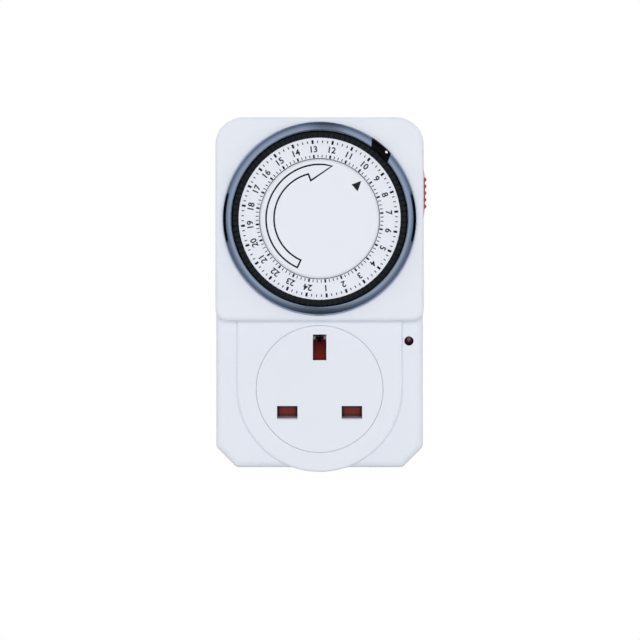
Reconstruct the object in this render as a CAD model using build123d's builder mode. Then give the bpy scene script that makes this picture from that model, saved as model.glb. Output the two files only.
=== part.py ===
from build123d import *
import os
from math import acos, asin, cos, hypot, pi, radians, sin, sqrt, tan

# A 24 hour plug-in segment timer for the British 13 A plug pattern.
# Millimetres. X runs to the right as seen from the front, Z is up, and the front faces -Y.
# The origin lies on the plug base's flat face, midway between the line and neutral pins.
# A "depth" is the distance in front of that face, so it is measured along -Y.

os.makedirs("parts", exist_ok=True)

# ---------------------------------------------------------------- driving dimensions
# Pin and socket pattern
pin_spacing = 22.2
earth_offset = 22.2
line_pin_width = 6.35
line_pin_height = 4.0
line_pin_length = 17.7
earth_pin_width = 4.0
earth_pin_height = 8.0
earth_pin_length = 22.7
pin_tip_bevel = 0.9
pin_sleeve_length = 9.0
pin_sleeve_wall = 0.6
pin_flange_margin = 1.3
pin_flange_thickness = 1.5
pin_stud_radius = 1.45
pin_clearance = 0.05

# Depths of the housing; its front follows from the movement and the dial in front of it
plug_base_depth = 4.0
floor_thickness = 2.2
parting_depth = 20.0
block_step = 7.2
boss_proud = 1.2

# Housing outline
wall = 2.2
front_wall = 2.4
boss_front_wall = 3.6
dial_margin_side = 2.4
dial_margin_above = 1.5
dial_margin_below = 1.7
upper_top_radius = 9.4
upper_bottom_radius = 3.8
upper_edge_round = 1.5
side_step = 0.2
lower_corner_cut = 7.0
lower_corner_soften = 2.0
lower_edge_round = 2.2
block_overlap = 9.0
boss_rim = 6.63
boss_chin = 1.6
boss_edge_round = 0.9
back_edge_round = 2.0
base_width = 50.0
base_bottom_z = -17.0
base_top_z = 34.0
base_corner_radius = 12.0
base_edge_round = 0.8
lip_height = 1.5
lip_thickness = 0.9
lip_clearance = 0.1

# Socket face and its apertures
socket_centre_z = 7.9
socket_top_margin = 1.53
socket_collar_gap = 0.13
socket_gap = 0.12
socket_ledge = 1.3
socket_ledge_thickness = 1.0
aperture_width = 7.0
aperture_height = 4.1
earth_aperture_width = 4.6
earth_aperture_height = 8.8
aperture_bevel = 0.12
line_lip_radius = 0.55
collar_wall = 1.4
collar_length = 2.2

# Shutter and its spring
shutter_thickness = 2.4
shutter_clearance = 0.2
shutter_overlap = 1.6
shutter_bar_below = 3.0
shutter_bar_above = 3.4
shutter_stem_half_width = 3.2
shutter_stem_above_earth = 4.0
shutter_ramp_drop = 2.0
shutter_notch_width = 1.2
shutter_notch_depth = 2.3
shutter_mouth_width = 2.8
shutter_mouth_depth = 0.9
shutter_corner_cut = 0.6
shutter_overtravel = 0.1
spring_wire = 0.35
spring_radius = 1.0
spring_turns = 9
spring_closed_height = 5.1

# Contact carrier and contact clips
carrier_margin = 0.1
carrier_above_earth = 6.8
carrier_below_line = 9.0
carrier_plate = 1.6
carrier_depth = 14.0
well_wall = 1.2
line_well_width = 8.4
line_well_height = 7.2
earth_well_width = 6.8
earth_well_height = 11.0
earth_well_leg = 3.2
carrier_leg_radius = 2.0
carrier_leg_inset = 2.9
rail_width = 1.9
rail_clearance = 0.2
spring_shelf_half_width = 4.0
spring_shelf_thickness = 1.0
strip_thickness = 0.6
clip_width = 5.0
earth_clip_width = 7.0
tag_gap = 0.2
clip_recess = 1.0
clip_mouth_length = 3.0
clip_neck_length = 5.0
clip_spread = 2.9
earth_clip_spread = 2.7
clip_pinch = 2.0
clip_mouth = 2.7
clip_stud_radius = 1.2

# Dial
post_radius = 4.0
post_shoulder_radius = 6.0
post_shoulder_height = 0.3
running_clearance = 0.05
axial_clearance = 0.2
drum_hub_radius = 6.5
drum_web_thickness = 2.0
drum_flange_thickness = 2.5
drum_flange_width = 5.35
drum_rim_gap = 0.35
drum_gear_rim = 2.2
drum_gear_gap = 2.5
number_ring_gap = 0.2
number_ring_width = 7.0
number_ring_proud = 1.2
number_ring_plate = 1.8
number_ring_wall = 1.15
cap_proud = 0.6
cap_thickness = 2.0
cap_hub_radius = 6.4
cap_socket_floor = 0.8
cap_socket_length = 1.1
cap_edge_round = 1.1
bezel_width = 3.1
bezel_crown_inset = 0.45
bezel_height = 3.0
bezel_step = 0.5
bezel_spigot_wall = 1.3
bezel_spigot_length = 4.0
bezel_clearance = 0.1

# Tappets: four for each hour
hours = 24
quarters = 4
hour_twelve_angle = 9.95
tappet_gap = 0.2
tappet_rim_gap = 0.45
tappet_stop_gap = 0.2
tappet_head_width = 1.6
tappet_head_radial = 1.8
tappet_head_height = 2.5
tappet_stroke = 2.5
tappet_shank_width = 1.0
tappet_shank_radial = 1.25
tappet_tail = 3.0
tappet_slot_clearance = 0.1

# Gear train
pressure_angle = radians(20)
addendum = 0.85
dedendum = 1.15
flank_foot = 0.1
backlash = 0.12
dial_module = 0.6
train_module = 0.5
dial_teeth = 60
pinion_teeth = 12
second_teeth = 36
third_teeth = 30
motor_pinion_teeth = 10
second_angle = 225.0
third_angle = 90.0
motor_angle = 30.0
dial_gear_width = 2.5
wheel_width = 1.7
second_wheel_gap = 1.4
third_wheel_gap = 1.2
pinion_overhang = 0.3
arbor_radius = 1.0
pivot_radius = 0.7
motor_shaft_radius = 0.9
motor_shaft_tail = 2.5

# Movement plates
back_plate_thickness = 1.5
front_plate_thickness = 2.0
plate_spacing = 7.0
plate_side_gap = 3.5
plate_lever_gap = 5.0
plate_below_dial = 31.3
plate_screw_gap = 5.0
plate_corner_radius = 3.0
pillar_radius = 2.0
rear_pillar_radius = 2.5
upper_pillar_side_inset = 6.0
upper_pillar_top_inset = 4.0
lower_pillar_side_inset = 3.5
lower_pillar_bottom_inset = 4.5
middle_pillar_x = 2.0
middle_pillar_bottom_inset = 6.0

# Motor
motor_x = 1.5
motor_above_dial = 7.7
motor_radius = 14.5
motor_wall = 0.8
motor_length = 10.0
motor_floor_gap = 1.3
coil_inner_radius = 5.8
coil_length = 5.3
coil_clearance = 0.3
coil_cheek = 0.8
coil_winding_depth = 0.7
rotor_radius = 5.0
rotor_gap = 0.9
rotor_length = 4.0
rotor_shaft_radius = 0.75

# Switch; heights are measured from the dial's centre
lever_foot_inset = 1.9
lever_foot_overhang = 2.2
lever_width = 5.0
lever_thickness = 2.5
lever_plate_gap = 1.0
lever_pivot_below = 6.3
lever_pivot_inset = 1.0
lever_pin_radius = 1.0
lever_knuckle_radius = 2.4
lever_arm_width = 3.0
lever_nose_below = 17.3
lever_nose_radius = 0.6
lever_foot_angle = 47.0
lever_foot_size = 2.6
lever_foot_clearance = 0.3
lever_ramp_rise = 1.1
lever_ramp_length = 2.2
lever_ramp_top = 1.5
ear_thickness = 1.6
ear_gap = 0.2
ear_half_height = 2.8
pin_overhang = 0.4
pin_press_clearance = 0.02
contact_offset = 3.5
contact_strip_width = 4.0
contact_strip_thickness = 0.4
contact_root_rise = 0.4
contact_root_below = 28.8
contact_strip_length = 14.5
contact_button_height_on_strip = 12.5
contact_button_radius = 1.3
contact_button_height = 0.8
contact_gap = 1.1
contact_block_half_width = 4.5
contact_block_height = 4.5
contact_block_overlap = 2.5
contact_tag_length = 6.2
contact_tag_gap = 0.3
fixed_post_offset = 3.5
fixed_post_width = 2.6
fixed_post_half_height = 2.0

# Override slider
slider_above_dial = 8.95
slider_depth_below_front = 12.0
slider_pad_length = 17.0
slider_pad_rise = 0.5
slider_pad_width = 9.6
slider_rib_count = 5
slider_rib_pitch = 2.3
slider_rib_half_width = 0.72
slider_reach = 1.05
slider_gap = 0.2
slider_pad_gap = 0.08
slider_neck_length = 8.0
slider_neck_width = 3.6
slider_slot_clearance = 0.2
slider_travel = 4.0
slider_plate_thickness = 1.3
slider_plate_length = 17.0
slider_plate_margin = 1.9
slider_finger_half_height = 2.0
slider_finger_thickness = 2.0
slider_finger_overlap = 2.0

# Lamp
lamp_beside_boss = 2.2
lamp_side_margin = 4.8
lamp_below_step = 6.9
lens_radius = 1.55
lens_clearance = 0.05
lens_flange_radius = 2.2
lens_flange_thickness = 1.2
lens_dome = 0.4
neon_radius = 1.9
neon_tip_round = 1.1
neon_lip_gap = 0.7
neon_leg_radius = 0.3
neon_leg_offset = 0.9
resistor_radius = 1.0
resistor_length = 6.0
resistor_lead_gap = 3.0

# Live supply strip and internal leads
supply_width = 4.0
supply_below_line = 2.0
supply_slot_clearance = 0.2
lead_radius = 0.8
motor_lead_radius = 0.6
motor_live_offset = 4.5
motor_neutral_offset = -4.5
motor_live_below_dial = 21.3
motor_neutral_below_dial = 33.3
lead_bend_radius = 1.8
switch_lead_rise = 1.3

# Housing screws
upper_screw_side_inset = 7.1
upper_screw_top_inset = 8.1
lower_screw_side_inset = 7.9
lower_screw_bottom_inset = 9.2
screw_boss_radius = 3.4
screw_radius = 1.5
screw_clearance = 0.2
screw_head_radius = 2.9
screw_head_height = 1.6
screw_tip_gap = 1.4
screw_slot_width = 0.7
screw_slot_length = 3.2
screw_slot_depth = 0.8

# ---------------------------------------------------------------- derived values
line_x = pin_spacing / 2
earth_z = earth_offset
floor_depth = plug_base_depth + floor_thickness
pin_flange_depth = floor_depth + pin_flange_thickness

# Depths of the movement and the dial, from the floor forwards
motor_back_depth = floor_depth + motor_floor_gap
back_plate_depth = motor_back_depth + motor_length
back_plate_front_depth = back_plate_depth + back_plate_thickness
front_plate_depth = back_plate_front_depth + plate_spacing
front_plate_front_depth = front_plate_depth + front_plate_thickness
dial_gear_depth = front_plate_front_depth + post_shoulder_height + axial_clearance
drum_web_depth = dial_gear_depth + dial_gear_width + drum_gear_gap
drum_flange_depth = drum_web_depth + drum_web_thickness
drum_flange_front_depth = drum_flange_depth + drum_flange_thickness
tappet_head_back_depth = drum_flange_front_depth + tappet_stop_gap + tappet_stroke
tappet_shank_back_depth = drum_flange_depth - tappet_tail
tappet_pushed_depth = tappet_shank_back_depth - tappet_stroke
number_ring_top_depth = tappet_head_back_depth + tappet_head_height
cap_top_depth = number_ring_top_depth + cap_proud
post_top_depth = cap_top_depth - cap_thickness - cap_socket_floor
cap_hub_back_depth = post_top_depth - cap_socket_length
second_wheel_depth = front_plate_depth - second_wheel_gap - wheel_width
third_wheel_depth = back_plate_front_depth + third_wheel_gap

# Depths of the housing's front
upper_front_depth = number_ring_top_depth - number_ring_proud
lower_front_depth = upper_front_depth - block_step
boss_front_depth = lower_front_depth + boss_proud
lower_ceiling_depth = lower_front_depth - front_wall
boss_ceiling_depth = boss_front_depth - boss_front_wall
upper_ceiling_depth = upper_front_depth - front_wall
socket_ledge_depth = boss_ceiling_depth + socket_ledge_thickness
screw_tip_depth = lower_ceiling_depth - screw_tip_gap

# Depths of the shutter, carrier and clips, from the socket face backwards
collar_back_depth = socket_ledge_depth - collar_length
shutter_front_depth = collar_back_depth - shutter_clearance
shutter_back_depth = shutter_front_depth - shutter_thickness
carrier_front_depth = shutter_back_depth - shutter_clearance
carrier_floor_depth = carrier_front_depth - carrier_depth
well_floor_depth = carrier_floor_depth + carrier_plate
earth_floor_depth = floor_depth + earth_well_leg
earth_well_floor_depth = earth_floor_depth + carrier_plate
clip_leaf_depth = carrier_front_depth - clip_recess
clip_pinch_depth = clip_leaf_depth - clip_mouth_length
clip_shoulder_depth = clip_pinch_depth - clip_neck_length

# Socket: its opening clears the outermost corner of the apertures' collars
line_collar_x = line_x + aperture_width / 2 + collar_wall
line_collar_z = -aperture_height / 2 - collar_wall
earth_collar_x = earth_aperture_width / 2 + collar_wall
earth_collar_z = earth_z + earth_aperture_height / 2 + collar_wall
collar_reach = max(
    hypot(line_collar_x, line_collar_z - socket_centre_z),
    hypot(earth_collar_x, earth_collar_z - socket_centre_z),
)
socket_opening_radius = collar_reach + socket_collar_gap + socket_ledge
socket_face_radius = socket_opening_radius - socket_gap

# Housing outline, from the socket outwards and up
boss_radius = socket_opening_radius + boss_rim
lamp_x = boss_radius + lamp_beside_boss
lower_half_width = lamp_x + lamp_side_margin
upper_half_width = lower_half_width + side_step
wall_inner_x = upper_half_width - wall
bezel_outer_radius = upper_half_width - dial_margin_side
lower_bottom_z = socket_centre_z - boss_radius + boss_chin
upper_bottom_z = socket_centre_z + socket_opening_radius + socket_top_margin
dial_centre_z = upper_bottom_z + dial_margin_below + bezel_outer_radius
upper_top_z = dial_centre_z + bezel_outer_radius + dial_margin_above
upper_height = upper_top_z - upper_bottom_z
upper_centre_z = (upper_top_z + upper_bottom_z) / 2
block_join_z = upper_bottom_z + block_overlap
lamp_z = upper_bottom_z - lamp_below_step
upper_screw_x = upper_half_width - upper_screw_side_inset
upper_screw_z = upper_top_z - upper_screw_top_inset
lower_screw_x = lower_half_width - lower_screw_side_inset
lower_screw_z = lower_bottom_z + lower_screw_bottom_inset
screw_places = [
    (-upper_screw_x, upper_screw_z),
    (upper_screw_x, upper_screw_z),
    (-lower_screw_x, lower_screw_z),
    (lower_screw_x, lower_screw_z),
]

# Shutter, its spring and the carrier
shutter_bar_half_width = line_x + aperture_width / 2 + shutter_overlap
shutter_stem_top_z = earth_z + shutter_stem_above_earth
shutter_travel = shutter_stem_above_earth + earth_pin_height / 2 + shutter_overtravel
spring_seat_z = -shutter_bar_below - shutter_travel - spring_closed_height
rail_inner_x = shutter_bar_half_width + rail_clearance
carrier_half_width = rail_inner_x + rail_width + carrier_margin
carrier_top_z = earth_z + carrier_above_earth
carrier_bottom_z = -carrier_below_line

# Dial, from the bezel ring inwards
bezel_inner_radius = bezel_outer_radius - bezel_width
bezel_crown_radius = bezel_inner_radius + bezel_crown_inset
bezel_spigot_radius = bezel_inner_radius + bezel_spigot_wall
drum_radius = bezel_inner_radius - drum_rim_gap
drum_flange_inner_radius = drum_radius - drum_flange_width
tappet_inner_radius = bezel_inner_radius - tappet_rim_gap - tappet_head_radial
number_ring_outer_radius = tappet_inner_radius - tappet_gap
number_ring_inner_radius = number_ring_outer_radius - number_ring_width
cap_radius = number_ring_inner_radius - number_ring_gap
hour_step = 360.0 / hours
quarter_step = hour_step / quarters
shank_place = tappet_inner_radius + tappet_shank_radial / 2
head_place = tappet_inner_radius + tappet_head_radial / 2


def toward(start, direction, distance):
    """Point (x, z) at a distance from another one, in a direction in degrees from +X to +Z."""
    angle = radians(direction)
    return (start[0] + distance * cos(angle), start[1] + distance * sin(angle))


dial_centre = (0.0, dial_centre_z)
dial_mesh = dial_module * (dial_teeth + pinion_teeth) / 2
second_mesh = train_module * (second_teeth + pinion_teeth) / 2
third_mesh = train_module * (third_teeth + motor_pinion_teeth) / 2
second_place = toward(dial_centre, second_angle, dial_mesh)
third_place = toward(second_place, third_angle, second_mesh)
motor_pinion_place = toward(third_place, motor_angle, third_mesh)
motor_place = (motor_x, dial_centre_z + motor_above_dial)

# Switch: the lever stands where its foot meets the pushed tappets
foot_place = toward(dial_centre, 90.0 - lever_foot_angle, shank_place)
lever_left_x = foot_place[0] - lever_foot_inset
lever_top_z = foot_place[1] + lever_foot_overhang
lever_front_depth = front_plate_depth - lever_plate_gap
lever_back_depth = lever_front_depth - lever_thickness
lever_pivot_depth = lever_back_depth + lever_pivot_inset
lever_pivot_z = dial_centre_z - lever_pivot_below
lever_nose_z = dial_centre_z - lever_nose_below
contact_x = lever_left_x + contact_offset
contact_root_depth = lever_front_depth + contact_root_rise
contact_root_z = dial_centre_z - contact_root_below
contact_button_z = contact_root_z + contact_button_height_on_strip
contact_tag_top_z = contact_root_z - contact_tag_gap
fixed_post_left_x = contact_x + fixed_post_offset
slider_x = upper_half_width + slider_pad_gap
slider_centre_z = dial_centre_z + slider_above_dial
slider_mid_depth = upper_front_depth - slider_depth_below_front

# Movement plates and their pillars
plate_half_width = wall_inner_x - plate_side_gap
front_plate_right_x = lever_left_x - plate_lever_gap
plate_bottom_z = dial_centre_z - plate_below_dial
plate_top_z = upper_screw_z - plate_screw_gap
upper_pillar_x = plate_half_width - upper_pillar_side_inset
upper_pillar_z = plate_top_z - upper_pillar_top_inset
pillar_places = [
    (-upper_pillar_x, upper_pillar_z),
    (-plate_half_width + lower_pillar_side_inset, plate_bottom_z + lower_pillar_bottom_inset),
    (middle_pillar_x, plate_bottom_z + middle_pillar_bottom_inset),
]
right_pillar = (front_plate_right_x - upper_pillar_top_inset, upper_pillar_z)
right_rear_pillar = (upper_pillar_x, upper_pillar_z)


# ---------------------------------------------------------------- shared helpers
def front_plane(depth, x=0.0, z=0.0):
    """Plane at a depth, seen from the front: local x is X, local y is Z, extrusion goes forward."""
    return Plane(origin=(x, -depth, z), x_dir=(1, 0, 0), z_dir=(0, -1, 0))


def turned_plane(place):
    """Plane through an axis along Y: local x is the radius, local y is the depth."""
    return Plane(origin=(place[0], 0, place[1]), x_dir=(1, 0, 0), z_dir=(0, 0, -1))


def side_plane(x, z=0.0):
    """Plane across X: local x is Z, local y is the depth, extrusion goes to the right."""
    return Plane(origin=(x, 0, z), x_dir=(0, 0, 1), z_dir=(1, 0, 0))


def depth_axis(place):
    """Axis along the depth through a point (x, z)."""
    return Axis(origin=(place[0], 0, place[1]), direction=(0, -1, 0))


def upper_outline(depth, inset=0.0):
    """Outline of the upper block, drawn smaller all round by the inset."""
    with BuildSketch(front_plane(depth, 0, upper_centre_z)) as outline:
        Rectangle(2 * upper_half_width, upper_height)
        fillet(outline.vertices().group_by(Axis.Y)[-1], upper_top_radius)
        fillet(outline.vertices().group_by(Axis.Y)[0], upper_bottom_radius)
        if inset:
            offset(outline.sketch_local, amount=-inset, mode=Mode.REPLACE)
    return outline.sketch


def lower_outline(depth, inset=0.0):
    """Outline of the lower block with its cut bottom corners; it runs up behind the upper block."""
    with BuildSketch(front_plane(depth)) as outline:
        with BuildLine():
            Polyline(
                (-lower_half_width, block_join_z),
                (-lower_half_width, lower_bottom_z + lower_corner_cut),
                (-lower_half_width + lower_corner_cut, lower_bottom_z),
                (lower_half_width - lower_corner_cut, lower_bottom_z),
                (lower_half_width, lower_bottom_z + lower_corner_cut),
                (lower_half_width, block_join_z),
                close=True,
            )
        make_face()
        fillet(outline.vertices().filter_by(lambda v: v.Y < upper_bottom_z), lower_corner_soften)
        if inset:
            offset(outline.sketch_local, amount=-inset, mode=Mode.REPLACE)
    return outline.sketch


def boss_outline(depth, inset=0.0):
    """Outline of the raised U round the socket; it runs up into the upper block."""
    with BuildSketch(front_plane(depth, 0, socket_centre_z)) as outline:
        Circle(boss_radius - inset)
        with Locations((0, (block_join_z - socket_centre_z) / 2)):
            Rectangle(2 * (boss_radius - inset), block_join_z - socket_centre_z)
    return outline.sketch


def front_edges(solid):
    """Edges of the face that lies furthest forward."""
    return solid.faces().sort_by(Axis.Y)[0].edges()


def back_edges(solid):
    """Edges of the face that lies furthest back."""
    return solid.faces().sort_by(Axis.Y)[-1].edges()


def gear_outline(depth, place, module, teeth, phase):
    """Involute gear outline with one tooth centred on the phase direction, in degrees."""
    pitch_radius = module * teeth / 2
    base_radius = pitch_radius * cos(pressure_angle)
    tip_radius = pitch_radius + addendum * module
    root_radius = pitch_radius - dedendum * module
    pitch_half_angle = pi / (2 * teeth) - backlash / (2 * pitch_radius)

    def half_angle(radius):
        roll = acos(min(1.0, base_radius / radius))
        return pitch_half_angle + tan(pressure_angle) - pressure_angle - tan(roll) + roll

    flank_start = max(root_radius + flank_foot * module, base_radius)
    flank = [root_radius, flank_start, (flank_start + tip_radius) / 2, tip_radius]
    points = []
    for tooth in range(teeth):
        centre = radians(phase) + 2 * pi * tooth / teeth
        for radius in flank:
            angle = centre - half_angle(radius)
            points.append((radius * cos(angle), radius * sin(angle)))
        for radius in reversed(flank):
            angle = centre + half_angle(radius)
            points.append((radius * cos(angle), radius * sin(angle)))
    with BuildSketch(front_plane(depth, *place)) as outline:
        with BuildLine():
            Polyline(*points, close=True)
        make_face()
    return outline.sketch


def meshing_phase(direction, teeth):
    """Phase of a gear that meets a tooth coming to it in this direction."""
    return direction + 180.0 + 180.0 / teeth


def bent_strip(plane, points, thickness, width):
    """Metal strip bent along a line of points, half its width to each side of the plane."""
    with BuildPart() as strip:
        with BuildSketch(plane):
            with BuildLine() as path:
                Polyline(*points)
            trace(path.line, line_width=thickness)
        extrude(amount=width / 2, both=True)
    return strip.part


def save(builder, name):
    """Labels a finished piece and writes it."""
    builder.part.label = name
    export_step(builder.part, f"parts/{name}.step")


# ---------------------------------------------------------------- housing
with BuildPart() as upper_front_block:
    extrude(upper_outline(parting_depth), amount=upper_front_depth - parting_depth)
    fillet(front_edges(upper_front_block), upper_edge_round)

with BuildPart() as lower_front_block:
    extrude(lower_outline(parting_depth), amount=lower_front_depth - parting_depth)
    fillet(front_edges(lower_front_block), lower_edge_round)

with BuildPart() as boss_front_block:
    extrude(boss_outline(parting_depth), amount=boss_front_depth - parting_depth)
    fillet(front_edges(boss_front_block), boss_edge_round)

with BuildPart() as front_cover:
    add(upper_front_block.part)
    add(lower_front_block.part)
    add(boss_front_block.part)
    for outline, ceiling in (
        (upper_outline, upper_ceiling_depth),
        (lower_outline, lower_ceiling_depth),
        (boss_outline, boss_ceiling_depth),
    ):
        extrude(outline(parting_depth, wall), amount=ceiling - parting_depth, mode=Mode.SUBTRACT)
    # Screw bosses reach from the parting line to each block's ceiling
    for place in screw_places:
        ceiling = upper_ceiling_depth if place[1] > upper_bottom_z else lower_ceiling_depth
        with BuildSketch(front_plane(parting_depth, *place)):
            Circle(screw_boss_radius)
        extrude(amount=ceiling - parting_depth)
        with BuildSketch(front_plane(parting_depth, *place)):
            Circle(screw_radius + pin_press_clearance)
        extrude(amount=screw_tip_depth - parting_depth, mode=Mode.SUBTRACT)
    # Dial opening
    with BuildSketch(front_plane(upper_ceiling_depth, *dial_centre)):
        Circle(bezel_spigot_radius + bezel_clearance)
    extrude(amount=front_wall, mode=Mode.SUBTRACT)
    # Socket opening with the ledge that carries the socket face
    with BuildSketch(front_plane(socket_ledge_depth, 0, socket_centre_z)):
        Circle(socket_opening_radius)
    extrude(amount=boss_front_depth - socket_ledge_depth, mode=Mode.SUBTRACT)
    with BuildSketch(front_plane(boss_ceiling_depth, 0, socket_centre_z)):
        Circle(socket_opening_radius - socket_ledge)
    extrude(amount=socket_ledge_thickness, mode=Mode.SUBTRACT)
    # Lens hole
    with BuildSketch(front_plane(lower_ceiling_depth, lamp_x, lamp_z)):
        Circle(lens_radius + lens_clearance)
    extrude(amount=front_wall, mode=Mode.SUBTRACT)
    # Slot of the override slider through the right wall
    with BuildSketch(side_plane(wall_inner_x)):
        with Locations((slider_centre_z + slider_travel / 2, slider_mid_depth)):
            Rectangle(
                slider_neck_length + slider_travel + 2 * slider_slot_clearance,
                slider_neck_width + 2 * slider_slot_clearance,
            )
    extrude(amount=wall, mode=Mode.SUBTRACT)
save(front_cover, "front_cover")

with BuildPart() as upper_rear_block:
    extrude(upper_outline(plug_base_depth), amount=parting_depth - plug_base_depth)
    fillet(back_edges(upper_rear_block), back_edge_round)

with BuildPart() as lower_rear_block:
    extrude(lower_outline(plug_base_depth), amount=parting_depth - plug_base_depth)
    fillet(back_edges(lower_rear_block), back_edge_round)

with BuildPart() as boss_rear_block:
    extrude(boss_outline(plug_base_depth), amount=parting_depth - plug_base_depth)
    fillet(back_edges(boss_rear_block), back_edge_round)

with BuildPart() as plug_base:
    with BuildSketch(front_plane(0, 0, (base_bottom_z + base_top_z) / 2)):
        RectangleRounded(base_width, base_top_z - base_bottom_z, base_corner_radius)
    extrude(amount=floor_depth)
    fillet(back_edges(plug_base), base_edge_round)

with BuildPart() as cover_lip:
    # Tongue that stands inside the front cover's wall
    for outline in (upper_outline, lower_outline, boss_outline):
        extrude(outline(floor_depth, wall), amount=parting_depth - floor_depth)
        extrude(outline(parting_depth, wall + lip_clearance), amount=lip_height)
    lip_inset = wall + lip_clearance + lip_thickness
    lip_top_depth = parting_depth + lip_height
    for outline in (upper_outline, lower_outline, boss_outline):
        extrude(outline(floor_depth, lip_inset), amount=lip_top_depth - floor_depth, mode=Mode.SUBTRACT)

with BuildPart() as rear_cover:
    add(upper_rear_block.part)
    add(lower_rear_block.part)
    add(boss_rear_block.part)
    add(plug_base.part)
    for outline in (upper_outline, lower_outline, boss_outline):
        extrude(outline(floor_depth, wall), amount=parting_depth - floor_depth, mode=Mode.SUBTRACT)
    add(cover_lip.part)
    # Pillars that carry the movement
    for pillar in pillar_places + [right_rear_pillar]:
        with BuildSketch(front_plane(floor_depth, *pillar)):
            Circle(rear_pillar_radius)
        extrude(amount=back_plate_depth - floor_depth)
    # Screw bosses with a clearance hole and a countersink
    for place in screw_places:
        with BuildSketch(front_plane(floor_depth, *place)):
            Circle(screw_boss_radius)
        extrude(amount=parting_depth - floor_depth)
        with BuildSketch(turned_plane(place)):
            with BuildLine():
                Polyline(
                    (0, plug_base_depth),
                    (screw_head_radius, plug_base_depth),
                    (screw_radius + screw_clearance, plug_base_depth + screw_head_height),
                    (screw_radius + screw_clearance, parting_depth),
                    (0, parting_depth),
                    close=True,
                )
            make_face()
        revolve(axis=depth_axis(place), mode=Mode.SUBTRACT)
    # Holes of the pins
    with BuildSketch(front_plane(0)):
        with Locations((-line_x, 0), (line_x, 0)):
            Rectangle(line_pin_width + 2 * pin_clearance, line_pin_height + 2 * pin_clearance)
        with Locations((0, earth_z)):
            Rectangle(earth_pin_width + 2 * pin_clearance, earth_pin_height + 2 * pin_clearance)
    extrude(amount=floor_depth, mode=Mode.SUBTRACT)
save(rear_cover, "rear_cover")

with BuildPart() as socket_face:
    with BuildSketch(front_plane(socket_ledge_depth, 0, socket_centre_z)):
        Circle(socket_face_radius)
    extrude(amount=boss_front_depth - socket_ledge_depth)
    # Collars that lead from the apertures to the shutter
    with BuildSketch(front_plane(collar_back_depth)):
        with Locations((-line_x, 0), (line_x, 0)):
            Rectangle(aperture_width + 2 * collar_wall, aperture_height + 2 * collar_wall)
        with Locations((0, earth_z)):
            Rectangle(earth_aperture_width + 2 * collar_wall, earth_aperture_height + 2 * collar_wall)
    extrude(amount=boss_front_depth - collar_back_depth)
    with BuildSketch(front_plane(collar_back_depth)):
        with Locations((-line_x, 0), (line_x, 0)):
            Rectangle(aperture_width, aperture_height)
        with Locations((0, earth_z)):
            Rectangle(earth_aperture_width, earth_aperture_height)
    extrude(amount=boss_front_depth - collar_back_depth, mode=Mode.SUBTRACT)
    mouths = socket_face.faces().sort_by(Axis.Y)[0].inner_wires()
    chamfer([edge for mouth in mouths for edge in mouth.edges()], aperture_bevel)
    # Rounded lip below each line aperture
    for x in (-line_x, line_x):
        with BuildSketch(side_plane(x)):
            with BuildLine():
                lip_start = (-aperture_height / 2 - line_lip_radius, boss_front_depth)
                lip_end = (-aperture_height / 2, boss_front_depth - line_lip_radius)
                TangentArc(lip_start, lip_end, tangent=(1, 0))
                Polyline(lip_end, (-aperture_height / 2, boss_front_depth), lip_start)
            make_face()
        extrude(amount=aperture_width / 2 + aperture_bevel, both=True, mode=Mode.SUBTRACT)
save(socket_face, "socket_face")

with BuildPart() as lamp_lens:
    with BuildSketch(turned_plane((lamp_x, lamp_z))):
        with BuildLine():
            lens_back = lower_ceiling_depth - lens_flange_thickness
            Polyline(
                (0, lens_back),
                (lens_flange_radius, lens_back),
                (lens_flange_radius, lower_ceiling_depth),
                (lens_radius, lower_ceiling_depth),
                (lens_radius, lower_front_depth),
            )
            dome_radius = (lens_radius ** 2 + lens_dome ** 2) / (2 * lens_dome)
            dome_half_angle = asin(lens_radius / dome_radius) / 2
            dome_centre = lower_front_depth + lens_dome - dome_radius
            ThreePointArc(
                (lens_radius, lower_front_depth),
                (dome_radius * sin(dome_half_angle), dome_centre + dome_radius * cos(dome_half_angle)),
                (0, lower_front_depth + lens_dome),
            )
            Line((0, lower_front_depth + lens_dome), (0, lens_back))
        make_face()
    revolve(axis=depth_axis((lamp_x, lamp_z)))
save(lamp_lens, "lamp_lens")

with BuildPart() as housing_screws:
    for place in screw_places:
        with BuildSketch(turned_plane(place)):
            with BuildLine():
                Polyline(
                    (0, plug_base_depth),
                    (screw_head_radius, plug_base_depth),
                    (screw_radius + screw_clearance, plug_base_depth + screw_head_height),
                    (screw_radius, plug_base_depth + screw_head_height),
                    (screw_radius, screw_tip_depth - screw_radius),
                    (0, screw_tip_depth),
                    close=True,
                )
            make_face()
        revolve(axis=depth_axis(place))
        with BuildSketch(front_plane(plug_base_depth, *place)):
            Rectangle(screw_slot_length, screw_slot_width)
            Rectangle(screw_slot_width, screw_slot_length)
        extrude(amount=screw_slot_depth, mode=Mode.SUBTRACT)
save(housing_screws, "housing_screws")

# ---------------------------------------------------------------- plug pins


def line_pin_on(x):
    """Line or neutral pin: slim inside its sleeve, full size past it, with a flange and a stud."""
    with BuildPart() as pin:
        with BuildSketch(front_plane(-line_pin_length, x)):
            Rectangle(line_pin_width, line_pin_height)
        extrude(amount=line_pin_length - pin_sleeve_length)
        chamfer(back_edges(pin), pin_tip_bevel)
        with BuildSketch(front_plane(-pin_sleeve_length, x)):
            Rectangle(line_pin_width - 2 * pin_sleeve_wall, line_pin_height - 2 * pin_sleeve_wall)
        extrude(amount=pin_sleeve_length + floor_depth)
        with BuildSketch(front_plane(floor_depth, x)):
            Rectangle(line_pin_width + 2 * pin_flange_margin, line_pin_height + 2 * pin_flange_margin)
        extrude(amount=pin_flange_thickness)
    return pin.part


with BuildPart() as live_pin:
    add(line_pin_on(line_x))
save(live_pin, "live_pin")

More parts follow.
